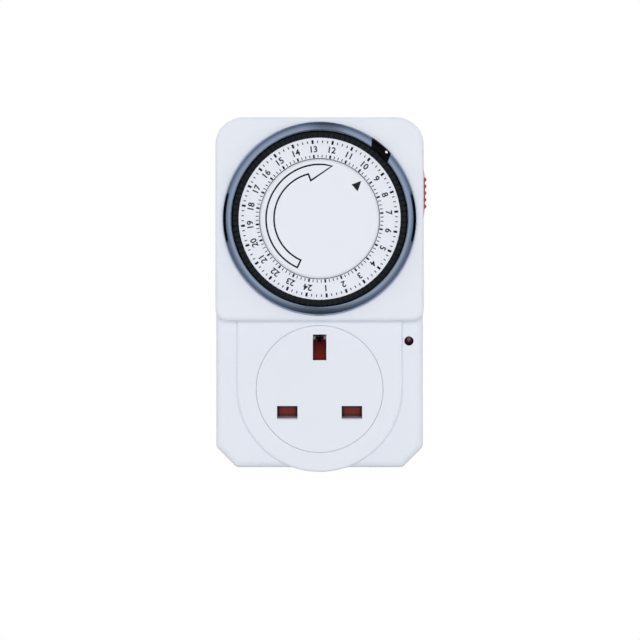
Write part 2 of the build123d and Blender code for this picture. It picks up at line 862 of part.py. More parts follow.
with BuildPart() as neutral_pin:
    add(line_pin_on(-line_x))
    # The stud carries the neutral clip directly
    with BuildSketch(front_plane(pin_flange_depth, -line_x)):
        Circle(pin_stud_radius)
    extrude(amount=well_floor_depth - pin_flange_depth)
save(neutral_pin, "neutral_pin")

with BuildPart() as earth_pin:
    with BuildSketch(front_plane(-earth_pin_length, 0, earth_z)):
        Rectangle(earth_pin_width, earth_pin_height)
    extrude(amount=earth_pin_length + floor_depth)
    chamfer(back_edges(earth_pin), pin_tip_bevel)
    with BuildSketch(front_plane(floor_depth, 0, earth_z)):
        Rectangle(earth_pin_width + 2 * pin_flange_margin, earth_pin_height + 2 * pin_flange_margin)
    extrude(amount=pin_flange_thickness)
    with BuildSketch(front_plane(pin_flange_depth, 0, earth_z)):
        Circle(pin_stud_radius)
    extrude(amount=earth_well_floor_depth - pin_flange_depth)
save(earth_pin, "earth_pin")

with BuildPart() as pin_sleeves:
    with BuildSketch(front_plane(-pin_sleeve_length)):
        with Locations((-line_x, 0), (line_x, 0)):
            Rectangle(line_pin_width, line_pin_height)
            Rectangle(
                line_pin_width - 2 * pin_sleeve_wall,
                line_pin_height - 2 * pin_sleeve_wall,
                mode=Mode.SUBTRACT,
            )
    extrude(amount=pin_sleeve_length + floor_depth)
save(pin_sleeves, "pin_sleeves")

# ---------------------------------------------------------------- socket contacts
with BuildPart() as contact_carrier:
    carrier_mid_z = (carrier_top_z + carrier_bottom_z) / 2
    carrier_height = carrier_top_z - carrier_bottom_z
    # Rear and front plates
    with BuildSketch(front_plane(carrier_floor_depth, 0, carrier_mid_z)):
        Rectangle(2 * carrier_half_width, carrier_height)
    extrude(amount=carrier_plate)
    with BuildSketch(front_plane(carrier_front_depth - carrier_plate, 0, carrier_mid_z)):
        Rectangle(2 * carrier_half_width, carrier_height)
    extrude(amount=carrier_plate)
    # Well walls
    with BuildSketch(front_plane(carrier_floor_depth)):
        with Locations((-line_x, 0), (line_x, 0)):
            Rectangle(line_well_width + 2 * well_wall, line_well_height + 2 * well_wall)
    extrude(amount=carrier_front_depth - carrier_floor_depth)
    with BuildSketch(front_plane(earth_floor_depth, 0, earth_z)):
        Rectangle(earth_well_width + 2 * well_wall, earth_well_height + 2 * well_wall)
    extrude(amount=carrier_front_depth - earth_floor_depth)
    with BuildSketch(front_plane(well_floor_depth)):
        with Locations((-line_x, 0), (line_x, 0)):
            Rectangle(line_well_width, line_well_height)
    extrude(amount=carrier_front_depth - well_floor_depth, mode=Mode.SUBTRACT)
    with BuildSketch(front_plane(earth_well_floor_depth, 0, earth_z)):
        Rectangle(earth_well_width, earth_well_height)
    extrude(amount=carrier_front_depth - earth_well_floor_depth, mode=Mode.SUBTRACT)
    # Holes of the pin studs
    with BuildSketch(front_plane(earth_floor_depth)):
        with Locations((-line_x, 0), (0, earth_z), (line_x, 0)):
            Circle(pin_stud_radius + running_clearance)
    extrude(amount=well_floor_depth - earth_floor_depth, mode=Mode.SUBTRACT)
    # Legs down to the rear cover's floor
    leg_x = carrier_half_width - carrier_leg_inset
    with BuildSketch(front_plane(floor_depth)):
        with Locations(
            (-leg_x, carrier_bottom_z + carrier_leg_inset),
            (leg_x, carrier_bottom_z + carrier_leg_inset),
            (-leg_x, carrier_top_z - carrier_leg_inset),
            (leg_x, carrier_top_z - carrier_leg_inset),
        ):
            Circle(carrier_leg_radius)
    extrude(amount=carrier_floor_depth - floor_depth)
    # Rails beside the shutter
    with BuildSketch(front_plane(carrier_front_depth)):
        with Locations((-rail_inner_x - rail_width / 2, 0), (rail_inner_x + rail_width / 2, 0)):
            Rectangle(rail_width, 2 * carrier_below_line)
    extrude(amount=shutter_front_depth - carrier_front_depth)
    # Tongue and shelf below the shutter, the seat of its spring
    shelf_bottom_z = spring_seat_z - spring_shelf_thickness
    tongue_mid_z = (shelf_bottom_z + carrier_bottom_z) / 2
    with BuildSketch(front_plane(carrier_front_depth - carrier_plate, 0, tongue_mid_z)):
        Rectangle(2 * spring_shelf_half_width, carrier_bottom_z - shelf_bottom_z)
    extrude(amount=carrier_plate)
    with BuildSketch(front_plane(carrier_front_depth, 0, spring_seat_z - spring_shelf_thickness / 2)):
        Rectangle(2 * spring_shelf_half_width, spring_shelf_thickness)
    extrude(amount=shutter_front_depth - carrier_front_depth)
save(contact_carrier, "contact_carrier")

half_strip = strip_thickness / 2


def clip_points(base_depth, spread):
    """Centre line of a clip: two leaves that rise from a base and pinch before their mouth."""
    right = [
        (spread, base_depth + half_strip),
        (spread, clip_shoulder_depth),
        (clip_pinch, clip_pinch_depth),
        (clip_mouth, clip_leaf_depth),
    ]
    left = [(-across, depth) for across, depth in reversed(right)]
    return left + right


def line_clip_on(x):
    """Clip of a line or neutral pin: its leaves lie above and below the pin."""
    points = clip_points(well_floor_depth, clip_spread)
    return bent_strip(side_plane(x), points, strip_thickness, clip_width)


with BuildPart() as neutral_clip:
    add(line_clip_on(-line_x))
save(neutral_clip, "neutral_clip")

tag_front_depth = carrier_floor_depth - tag_gap
tag_start_x = line_x - clip_stud_radius
tag_end_x = carrier_half_width
with BuildPart() as live_clip:
    add(line_clip_on(line_x))
    # Stud through the carrier, with a solder tag behind it
    with BuildSketch(front_plane(tag_front_depth - strip_thickness, line_x)):
        Circle(clip_stud_radius)
    extrude(amount=well_floor_depth + half_strip - tag_front_depth + strip_thickness)
    with BuildSketch(front_plane(tag_front_depth - strip_thickness, (tag_start_x + tag_end_x) / 2)):
        Rectangle(tag_end_x - tag_start_x, 2 * clip_stud_radius)
    extrude(amount=strip_thickness)
save(live_clip, "live_clip")

with BuildPart() as earth_clip:
    earth_clip_plane = Plane(origin=(0, 0, earth_z), x_dir=(1, 0, 0), z_dir=(0, 0, -1))
    add(
        bent_strip(
            earth_clip_plane,
            clip_points(earth_well_floor_depth, earth_clip_spread),
            strip_thickness,
            earth_clip_width,
        )
    )
save(earth_clip, "earth_clip")

with BuildPart() as shutter:
    with BuildSketch(front_plane(shutter_back_depth)) as shutter_outline:
        with Locations((0, (shutter_bar_above - shutter_bar_below) / 2)):
            Rectangle(2 * shutter_bar_half_width, shutter_bar_above + shutter_bar_below)
        with Locations((0, (shutter_stem_top_z - shutter_bar_below) / 2)):
            Rectangle(2 * shutter_stem_half_width, shutter_stem_top_z + shutter_bar_below)
        chamfer(shutter_outline.vertices().group_by(Axis.Y)[-1], shutter_corner_cut)
        # Notch with a wider mouth in the stem's top edge
        with Locations((0, shutter_stem_top_z)):
            Rectangle(shutter_notch_width, 2 * shutter_notch_depth, mode=Mode.SUBTRACT)
            Rectangle(shutter_mouth_width, 2 * shutter_mouth_depth, mode=Mode.SUBTRACT)
    extrude(amount=shutter_thickness)
    # Ramp that the earth pin pushes down
    ramp_foot_z = earth_z - earth_aperture_height / 2
    with BuildSketch(side_plane(-shutter_stem_half_width)):
        with BuildLine():
            Polyline(
                (ramp_foot_z, shutter_front_depth),
                (shutter_stem_top_z, shutter_front_depth - shutter_ramp_drop),
                (shutter_stem_top_z, shutter_front_depth),
                close=True,
            )
        make_face()
    extrude(amount=2 * shutter_stem_half_width, mode=Mode.SUBTRACT)
save(shutter, "shutter")

with BuildPart() as shutter_spring:
    spring_depth = (shutter_front_depth + shutter_back_depth) / 2
    spring_bottom = spring_seat_z + spring_wire / 2
    spring_height = -shutter_bar_below - spring_seat_z - spring_wire
    spring_foot = (0, -spring_depth, spring_bottom)
    with BuildLine() as coil_path:
        Helix(spring_height / spring_turns, spring_height, spring_radius, center=spring_foot)
    with BuildSketch(Plane(origin=coil_path.line @ 0, z_dir=coil_path.line % 0)):
        Circle(spring_wire / 2)
    sweep(is_frenet=True)
save(shutter_spring, "shutter_spring")

# ---------------------------------------------------------------- dial
with BuildPart() as bezel_ring:
    bezel_top = upper_front_depth + bezel_height
    with BuildSketch(turned_plane(dial_centre)):
        with BuildLine():
            Polyline(
                (bezel_inner_radius, bezel_top - bezel_step),
                (bezel_inner_radius, upper_front_depth - bezel_spigot_length),
                (bezel_spigot_radius, upper_front_depth - bezel_spigot_length),
                (bezel_spigot_radius, upper_front_depth),
                (bezel_outer_radius, upper_front_depth),
                (bezel_outer_radius, upper_front_depth + bezel_step),
            )
            # Quarter ellipses up to the crown from outside, and down to the opening
            EllipticalCenterArc(
                (bezel_crown_radius, upper_front_depth + bezel_step),
                bezel_outer_radius - bezel_crown_radius,
                bezel_height - bezel_step,
                start_angle=0,
                arc_size=90,
            )
            EllipticalCenterArc(
                (bezel_crown_radius, bezel_top - bezel_step),
                bezel_crown_radius - bezel_inner_radius,
                bezel_step,
                start_angle=90,
                arc_size=90,
            )
        make_face()
    revolve(axis=depth_axis(dial_centre))
save(bezel_ring, "bezel_ring")

with BuildPart() as centre_cap:
    with BuildSketch(front_plane(cap_top_depth - cap_thickness, *dial_centre)):
        Circle(cap_radius)
    extrude(amount=cap_thickness)
    fillet(front_edges(centre_cap), cap_edge_round)
    with BuildSketch(front_plane(cap_hub_back_depth, *dial_centre)):
        Circle(cap_hub_radius)
    extrude(amount=cap_top_depth - cap_thickness - cap_hub_back_depth)
    with BuildSketch(front_plane(cap_hub_back_depth, *dial_centre)):
        Circle(post_radius + pin_press_clearance)
    extrude(amount=post_top_depth - cap_hub_back_depth, mode=Mode.SUBTRACT)
save(centre_cap, "centre_cap")

with BuildPart() as number_ring:
    plate_back_depth = number_ring_top_depth - number_ring_plate
    with BuildSketch(front_plane(plate_back_depth, *dial_centre)):
        Circle(number_ring_outer_radius)
        Circle(number_ring_inner_radius, mode=Mode.SUBTRACT)
    extrude(amount=number_ring_plate)
    # Outer skirt stands on the drum's flange, inner skirt on its web
    with BuildSketch(front_plane(drum_flange_front_depth, *dial_centre)):
        Circle(number_ring_outer_radius)
        Circle(number_ring_outer_radius - number_ring_wall, mode=Mode.SUBTRACT)
    extrude(amount=plate_back_depth - drum_flange_front_depth)
    with BuildSketch(front_plane(drum_flange_depth, *dial_centre)):
        Circle(number_ring_inner_radius + number_ring_wall)
        Circle(number_ring_inner_radius, mode=Mode.SUBTRACT)
    extrude(amount=plate_back_depth - drum_flange_depth)
save(number_ring, "number_ring")

first_tappet = 90.0 - hour_twelve_angle + quarter_step / 2
slot_inner_radius = tappet_inner_radius - tappet_slot_clearance
slot_radial = tappet_shank_radial + 2 * tappet_slot_clearance
with BuildPart() as dial_drum:
    with BuildSketch(front_plane(dial_gear_depth, *dial_centre)):
        Circle(drum_hub_radius)
    extrude(amount=cap_hub_back_depth - axial_clearance - dial_gear_depth)
    with BuildSketch(front_plane(drum_web_depth, *dial_centre)):
        Circle(number_ring_outer_radius)
    extrude(amount=drum_web_thickness)
    with BuildSketch(front_plane(drum_flange_depth, *dial_centre)):
        Circle(drum_radius)
        Circle(drum_flange_inner_radius, mode=Mode.SUBTRACT)
        slot_place = slot_inner_radius + slot_radial / 2
        with PolarLocations(slot_place, hours * quarters, start_angle=first_tappet):
            Rectangle(slot_radial, tappet_shank_width + 2 * tappet_slot_clearance, mode=Mode.SUBTRACT)
    extrude(amount=drum_flange_thickness)
    # Gear behind the web
    extrude(
        gear_outline(dial_gear_depth, dial_centre, dial_module, dial_teeth, second_angle),
        amount=dial_gear_width,
    )
    gear_root_radius = dial_module * (dial_teeth / 2 - dedendum)
    with BuildSketch(front_plane(dial_gear_depth + dial_gear_width, *dial_centre)):
        Circle(gear_root_radius)
    extrude(amount=drum_web_depth - dial_gear_depth - dial_gear_width)
    with BuildSketch(front_plane(dial_gear_depth, *dial_centre)):
        Circle(gear_root_radius - drum_gear_rim)
        Circle(drum_hub_radius, mode=Mode.SUBTRACT)
    extrude(amount=drum_web_depth - dial_gear_depth, mode=Mode.SUBTRACT)
    with BuildSketch(front_plane(dial_gear_depth, *dial_centre)):
        Circle(post_radius + running_clearance)
    extrude(amount=cap_hub_back_depth - dial_gear_depth, mode=Mode.SUBTRACT)
save(dial_drum, "dial_drum")

for hour in range(1, hours + 1):
    first = first_tappet + (hour - 12) * hour_step
    with BuildPart() as tappets:
        with BuildSketch(front_plane(tappet_shank_back_depth, *dial_centre)):
            with PolarLocations(shank_place, quarters, start_angle=first, angular_range=hour_step):
                Rectangle(tappet_shank_radial, tappet_shank_width)
        extrude(amount=tappet_head_back_depth - tappet_shank_back_depth)
        with BuildSketch(front_plane(tappet_head_back_depth, *dial_centre)):
            with PolarLocations(head_place, quarters, start_angle=first, angular_range=hour_step):
                Rectangle(tappet_head_radial, tappet_head_width)
        extrude(amount=tappet_head_height)
    save(tappets, f"tappets_hour_{hour:02d}")

# ---------------------------------------------------------------- movement
plate_mid_z = (plate_top_z + plate_bottom_z) / 2
plate_height = plate_top_z - plate_bottom_z
with BuildPart() as movement_plate:
    plate_mid_x = (front_plate_right_x - plate_half_width) / 2
    plate_width = front_plate_right_x + plate_half_width
    with BuildSketch(front_plane(front_plate_depth, plate_mid_x, plate_mid_z)):
        RectangleRounded(plate_width, plate_height, plate_corner_radius)
    extrude(amount=front_plate_thickness)
    with BuildSketch(front_plane(front_plate_front_depth, *dial_centre)):
        Circle(post_shoulder_radius)
    extrude(amount=post_shoulder_height)
    with BuildSketch(front_plane(front_plate_front_depth, *dial_centre)):
        Circle(post_radius)
    extrude(amount=post_top_depth - front_plate_front_depth)
    with BuildSketch(front_plane(front_plate_depth, *second_place)):
        Circle(arbor_radius + running_clearance)
    extrude(amount=front_plate_thickness, mode=Mode.SUBTRACT)
    with BuildSketch(front_plane(front_plate_depth, *third_place)):
        Circle(pivot_radius + running_clearance)
    extrude(amount=front_plate_thickness, mode=Mode.SUBTRACT)
save(movement_plate, "movement_plate")

contact_strip_front = contact_root_depth + contact_strip_thickness
fixed_strip_back = contact_strip_front + contact_button_height + contact_gap + contact_button_height
supply_leg_x = fixed_post_left_x + fixed_post_width + half_strip
supply_front_depth = pin_flange_depth + strip_thickness
with BuildPart() as movement_back_plate:
    with BuildSketch(front_plane(back_plate_depth, 0, plate_mid_z)):
        RectangleRounded(2 * plate_half_width, plate_height, plate_corner_radius)
    extrude(amount=back_plate_thickness)
    for pillar in pillar_places + [right_pillar]:
        with BuildSketch(front_plane(back_plate_front_depth, *pillar)):
            Circle(pillar_radius)
        extrude(amount=front_plate_depth - back_plate_front_depth)
    # Ears of the lever's pin
    for ear_x in (lever_left_x - ear_gap - ear_thickness, lever_left_x + lever_width + ear_gap):
        with BuildSketch(side_plane(ear_x)):
            ear_front = lever_pivot_depth + ear_half_height
            with Locations((lever_pivot_z, (back_plate_front_depth + ear_front) / 2)):
                Rectangle(2 * ear_half_height, ear_front - back_plate_front_depth)
            with Locations((lever_pivot_z, lever_pivot_depth)):
                Circle(lever_pin_radius + pin_press_clearance, mode=Mode.SUBTRACT)
        extrude(amount=ear_thickness)
    # Block under the moving contact and its tag, and the fixed contact's post
    block_mid_z = contact_root_z + contact_block_overlap - contact_block_height / 2
    with BuildSketch(front_plane(back_plate_front_depth, contact_x, block_mid_z)):
        Rectangle(2 * contact_block_half_width, contact_block_height)
    extrude(amount=contact_root_depth - back_plate_front_depth)
    fixed_post_x = fixed_post_left_x + fixed_post_width / 2
    with BuildSketch(front_plane(back_plate_front_depth, fixed_post_x, contact_button_z)):
        Rectangle(fixed_post_width, 2 * fixed_post_half_height)
    extrude(amount=fixed_strip_back - back_plate_front_depth)
    # Bores of the pivots, the motor's shafts, and the slot of the live supply strip
    for place, radius in (
        (second_place, pivot_radius),
        (third_place, pivot_radius),
        (motor_pinion_place, motor_shaft_radius),
        (motor_place, rotor_shaft_radius),
    ):
        with BuildSketch(front_plane(back_plate_depth, *place)):
            Circle(radius + running_clearance)
        extrude(amount=back_plate_thickness, mode=Mode.SUBTRACT)
    with BuildSketch(front_plane(back_plate_depth, supply_leg_x, contact_button_z)):
        Rectangle(strip_thickness, supply_width + 2 * supply_slot_clearance)
    extrude(amount=back_plate_thickness, mode=Mode.SUBTRACT)
save(movement_back_plate, "movement_back_plate")


def round_arbor(place, back_depth, front_depth, radius):
    """Round arbor between two depths."""
    with BuildPart() as arbor:
        with BuildSketch(front_plane(back_depth, *place)):
            Circle(radius)
        extrude(amount=front_depth - back_depth)
    return arbor.part


arbor_back_depth = back_plate_front_depth + axial_clearance
with BuildPart() as second_wheel:
    extrude(
        gear_outline(
            dial_gear_depth,
            second_place,
            dial_module,
            pinion_teeth,
            meshing_phase(second_angle, pinion_teeth),
        ),
        amount=dial_gear_width,
    )
    extrude(
        gear_outline(second_wheel_depth, second_place, train_module, second_teeth, third_angle),
        amount=wheel_width,
    )
    add(round_arbor(second_place, arbor_back_depth, dial_gear_depth, arbor_radius))
    add(round_arbor(second_place, back_plate_depth, arbor_back_depth, pivot_radius))
save(second_wheel, "second_wheel")

with BuildPart() as third_wheel:
    extrude(
        gear_outline(
            second_wheel_depth - pinion_overhang,
            third_place,
            train_module,
            pinion_teeth,
            meshing_phase(third_angle, pinion_teeth),
        ),
        amount=wheel_width + 2 * pinion_overhang,
    )
    extrude(
        gear_outline(third_wheel_depth, third_place, train_module, third_teeth, motor_angle),
        amount=wheel_width,
    )
    add(round_arbor(third_place, arbor_back_depth, front_plate_depth - axial_clearance, arbor_radius))
    add(round_arbor(third_place, back_plate_depth, front_plate_front_depth, pivot_radius))
save(third_wheel, "third_wheel")

with BuildPart() as motor_pinion:
    extrude(
        gear_outline(
            third_wheel_depth - pinion_overhang,
            motor_pinion_place,
            train_module,
            motor_pinion_teeth,
            meshing_phase(motor_angle, motor_pinion_teeth),
        ),
        amount=wheel_width + 2 * pinion_overhang,
    )
    add(
        round_arbor(
            motor_pinion_place,
            back_plate_depth - motor_shaft_tail,
            third_wheel_depth - pinion_overhang,
            motor_shaft_radius,
        )
    )
save(motor_pinion, "motor_pinion")

with BuildPart() as motor_can:
    with BuildSketch(front_plane(motor_back_depth, *motor_place)):
        Circle(motor_radius)
    extrude(amount=motor_length)
    with BuildSketch(front_plane(motor_back_depth + motor_wall, *motor_place)):
        Circle(motor_radius - motor_wall)
    extrude(amount=motor_length - motor_wall, mode=Mode.SUBTRACT)
    with BuildSketch(front_plane(motor_back_depth, *motor_place)):
        Circle(rotor_shaft_radius + running_clearance)
    extrude(amount=motor_wall, mode=Mode.SUBTRACT)
save(motor_can, "motor_can")

coil_radius = motor_radius - motor_wall - coil_clearance
with BuildPart() as motor_coil:
    with BuildSketch(front_plane(motor_back_depth + motor_wall, *motor_place)):
        Circle(coil_radius)
        Circle(coil_inner_radius, mode=Mode.SUBTRACT)
    extrude(amount=coil_length)
    # The winding lies between the bobbin's two cheeks
    with BuildSketch(front_plane(motor_back_depth + motor_wall + coil_cheek, *motor_place)):
        Circle(coil_radius)
        Circle(coil_radius - coil_winding_depth, mode=Mode.SUBTRACT)
    extrude(amount=coil_length - 2 * coil_cheek, mode=Mode.SUBTRACT)
save(motor_coil, "motor_coil")

with BuildPart() as motor_rotor:
    with BuildSketch(front_plane(motor_back_depth + motor_wall + rotor_gap, *motor_place)):
        Circle(rotor_radius)
    extrude(amount=rotor_length)
    with BuildSketch(front_plane(motor_back_depth, *motor_place)):
        Circle(rotor_shaft_radius)
    extrude(amount=back_plate_front_depth - motor_back_depth)
save(motor_rotor, "motor_rotor")

# ---------------------------------------------------------------- switch
foot_front_depth = tappet_pushed_depth - lever_foot_clearance
lever_mid_x = lever_left_x + lever_width / 2
with BuildPart() as follower_lever:
    with BuildSketch(side_plane(lever_left_x)):
        with Locations((lever_pivot_z, lever_pivot_depth)):
            Circle(lever_knuckle_radius)
        with Locations(((lever_pivot_z + lever_top_z) / 2, (lever_back_depth + lever_front_depth) / 2)):
            Rectangle(lever_top_z - lever_pivot_z, lever_thickness)
        # Ramp that the override slider's finger presses back
        ramp_start_z = slider_centre_z + slider_finger_half_height + lever_foot_clearance
        with BuildLine():
            Polyline(
                (ramp_start_z, lever_front_depth),
                (ramp_start_z + lever_ramp_length, lever_front_depth + lever_ramp_rise),
                (ramp_start_z + lever_ramp_length + lever_ramp_top, lever_front_depth + lever_ramp_rise),
                (ramp_start_z + 2 * lever_ramp_length + lever_ramp_top, lever_front_depth),
                close=True,
            )
        make_face()
    extrude(amount=lever_width)
    # Lower arm with the nose that pushes the moving contact
    with BuildSketch(side_plane(contact_x - lever_arm_width / 2)):
        arm_front = contact_root_depth - lever_foot_clearance - lever_nose_radius
        with Locations(((lever_pivot_z + lever_nose_z) / 2, (lever_back_depth + arm_front) / 2)):
            Rectangle(lever_pivot_z - lever_nose_z, arm_front - lever_back_depth)
        with Locations((lever_nose_z, arm_front)):
            Circle(lever_nose_radius)
    extrude(amount=lever_arm_width)
    with BuildSketch(side_plane(lever_left_x)):
        with Locations((lever_pivot_z, lever_pivot_depth)):
            Circle(lever_pin_radius + running_clearance)
    extrude(amount=lever_width, mode=Mode.SUBTRACT)
    # Foot that feels the ends of the pushed tappets
    with BuildSketch(front_plane(lever_front_depth, *foot_place)):
        Rectangle(lever_foot_size, lever_foot_size)
    extrude(amount=foot_front_depth - lever_front_depth)
    fillet(follower_lever.faces().sort_by(Axis.Y)[0].edges().filter_by(Axis.X), lever_nose_radius)
save(follower_lever, "follower_lever")

with BuildPart() as lever_pin:
    pin_left_x = lever_left_x - ear_gap - ear_thickness - pin_overhang
    with BuildSketch(side_plane(pin_left_x)):
        with Locations((lever_pivot_z, lever_pivot_depth)):
            Circle(lever_pin_radius)
    extrude(amount=2 * (lever_mid_x - pin_left_x))
save(lever_pin, "lever_pin")

with BuildPart() as moving_contact:
    strip_mid_z = contact_root_z + contact_strip_length / 2
    with BuildSketch(front_plane(contact_root_depth, contact_x, strip_mid_z)):
        Rectangle(contact_strip_width, contact_strip_length)
    extrude(amount=contact_strip_thickness)
    with BuildSketch(front_plane(contact_strip_front, contact_x, contact_button_z)):
        Circle(contact_button_radius)
    extrude(amount=contact_button_height)
save(moving_contact, "moving_contact")

with BuildPart() as contact_tag:
    tag_mid_z = contact_tag_top_z - contact_tag_length / 2
    with BuildSketch(front_plane(contact_root_depth, contact_x, tag_mid_z)):
        Rectangle(contact_strip_width, contact_tag_length)
    extrude(amount=contact_strip_thickness)
save(contact_tag, "contact_tag")

with BuildPart() as live_supply_strip:
    # Flat run from the live pin's flange to the foot of the upright leg
    leg_outer_x = supply_leg_x + half_strip
    supply_top_z = contact_button_z + supply_width / 2
    with BuildSketch(front_plane(pin_flange_depth)):
        with Locations((line_x, (supply_top_z - supply_below_line) / 2)):
            Rectangle(supply_width, supply_top_z + supply_below_line)
        with Locations(((line_x + leg_outer_x) / 2, contact_button_z)):
            Rectangle(leg_outer_x - line_x, supply_width)
    extrude(amount=strip_thickness)
    # Leg through the back plate, then the finger with the fixed contact
    with BuildSketch(front_plane(pin_flange_depth, supply_leg_x, contact_button_z)):
        Rectangle(strip_thickness, supply_width)
    extrude(amount=fixed_strip_back + strip_thickness - pin_flange_depth)
    finger_left_x = contact_x - contact_strip_width / 2
    with BuildSketch(front_plane(fixed_strip_back, (finger_left_x + leg_outer_x) / 2, contact_button_z)):
        Rectangle(leg_outer_x - finger_left_x, supply_width)
    extrude(amount=strip_thickness)
    with BuildSketch(front_plane(fixed_strip_back - contact_button_height, contact_x, contact_button_z)):
        Circle(contact_button_radius)
    extrude(amount=contact_button_height)
save(live_supply_strip, "live_supply_strip")

with BuildPart() as override_slider:
    slider_low_z = slider_centre_z - slider_pad_length / 2
    slider_high_z = slider_centre_z + slider_pad_length / 2
    with BuildSketch(front_plane(slider_mid_depth)):
        with BuildLine():
            ThreePointArc(
                (slider_x, slider_low_z),
                (slider_x + slider_pad_rise, slider_centre_z),
                (slider_x, slider_high_z),
            )
            Line((slider_x, slider_high_z), (slider_x, slider_low_z))
        make_face()
        # Round ribs across the pad
        first_rib_z = slider_centre_z - slider_rib_pitch * (slider_rib_count - 1) / 2
        for rib in range(slider_rib_count):
            rib_z = first_rib_z + rib * slider_rib_pitch
            with BuildLine():
                ThreePointArc(
                    (slider_x, rib_z - slider_rib_half_width),
                    (upper_half_width + slider_reach, rib_z),
                    (slider_x, rib_z + slider_rib_half_width),
                )
                Line((slider_x, rib_z + slider_rib_half_width), (slider_x, rib_z - slider_rib_half_width))
            make_face()
    extrude(amount=slider_pad_width / 2, both=True)
    # Neck through the wall, plate behind it and finger over the lever
    plate_outer_x = wall_inner_x - slider_gap
    with BuildSketch(front_plane(slider_mid_depth, (plate_outer_x + slider_x) / 2, slider_centre_z)):
        Rectangle(slider_x - plate_outer_x, slider_neck_length)
    extrude(amount=slider_neck_width / 2, both=True)
    plate_x = plate_outer_x - slider_plate_thickness / 2
    finger_back_depth = lever_front_depth + lever_foot_clearance
    plate_front_depth = slider_mid_depth + slider_neck_width / 2 + slider_plate_margin
    with BuildSketch(front_plane(finger_back_depth, plate_x, slider_centre_z)):
        Rectangle(slider_plate_thickness, slider_plate_length)
    extrude(amount=plate_front_depth - finger_back_depth)
    finger_left = lever_left_x + lever_width - slider_finger_overlap
    with BuildSketch(front_plane(finger_back_depth, (finger_left + plate_x) / 2, slider_centre_z)):
        Rectangle(plate_x - finger_left, 2 * slider_finger_half_height)
    extrude(amount=slider_finger_thickness)
save(override_slider, "override_slider")

# ---------------------------------------------------------------- lamp and leads
neon_front_depth = lower_ceiling_depth - lens_flange_thickness
neon_back_depth = parting_depth + lip_height + neon_lip_gap
with BuildPart() as neon_lamp:
    with BuildSketch(front_plane(neon_back_depth, lamp_x, lamp_z)):
        Circle(neon_radius)
    extrude(amount=neon_front_depth - neon_back_depth)
    fillet(front_edges(neon_lamp), neon_tip_round)
    with BuildSketch(front_plane(floor_depth, lamp_x + neon_leg_offset, lamp_z)):
        Circle(neon_leg_radius)
    extrude(amount=neon_back_depth - floor_depth)
save(neon_lamp, "neon_lamp")

with BuildPart() as lamp_resistor:
    resistor_x = lamp_x - neon_leg_offset
    with BuildSketch(front_plane(floor_depth, resistor_x, lamp_z)):
        Circle(neon_leg_radius)
    extrude(amount=neon_back_depth - floor_depth)
    with BuildSketch(front_plane(neon_back_depth - resistor_lead_gap - resistor_length, resistor_x, lamp_z)):
        Circle(resistor_radius)
    extrude(amount=resistor_length)
save(lamp_resistor, "lamp_resistor")


def can_edge_z(x):
    """Height at which a motor lead meets the can's lower edge."""
    reach = abs(x - motor_place[0]) - motor_lead_radius
    return motor_place[1] - sqrt(motor_radius ** 2 - reach ** 2)


tag_mid_depth = tag_front_depth - half_strip
switch_lead_z = contact_tag_top_z - contact_tag_length + switch_lead_rise
motor_lead_depth = (supply_front_depth + carrier_floor_depth) / 2
motor_live_x = motor_place[0] + motor_live_offset
motor_neutral_x = motor_place[0] + motor_neutral_offset
motor_live_z = dial_centre_z - motor_live_below_dial
motor_neutral_z = dial_centre_z - motor_neutral_below_dial
lead_routes = [
    (
        lead_radius,
        [
            (tag_end_x, -tag_mid_depth, 0),
            (contact_x, -tag_mid_depth, 0),
            (contact_x, -tag_mid_depth, switch_lead_z),
            (contact_x, -contact_root_depth, switch_lead_z),
        ],
    ),
    (
        motor_lead_radius,
        [
            (motor_live_x, -motor_lead_depth, can_edge_z(motor_live_x)),
            (motor_live_x, -motor_lead_depth, motor_live_z),
            (line_x, -motor_lead_depth, motor_live_z),
            (line_x, -supply_front_depth, motor_live_z),
        ],
    ),
    (
        motor_lead_radius,
        [
            (motor_neutral_x, -motor_lead_depth, can_edge_z(motor_neutral_x)),
            (motor_neutral_x, -motor_lead_depth, motor_neutral_z),
            (-line_x, -motor_lead_depth, motor_neutral_z),
            (-line_x, -motor_lead_depth, pin_stud_radius),
        ],
    ),
]
with BuildPart() as internal_leads:
    for radius, route in lead_routes:
        with BuildLine() as lead_path:
            FilletPolyline(*route, radius=lead_bend_radius)
        with BuildSketch(Plane(origin=lead_path.line @ 0, z_dir=lead_path.line % 0)):
            Circle(radius)
        sweep()
save(internal_leads, "internal_leads")
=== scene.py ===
import math
import bpy
import bmesh
from mathutils import Matrix, Vector


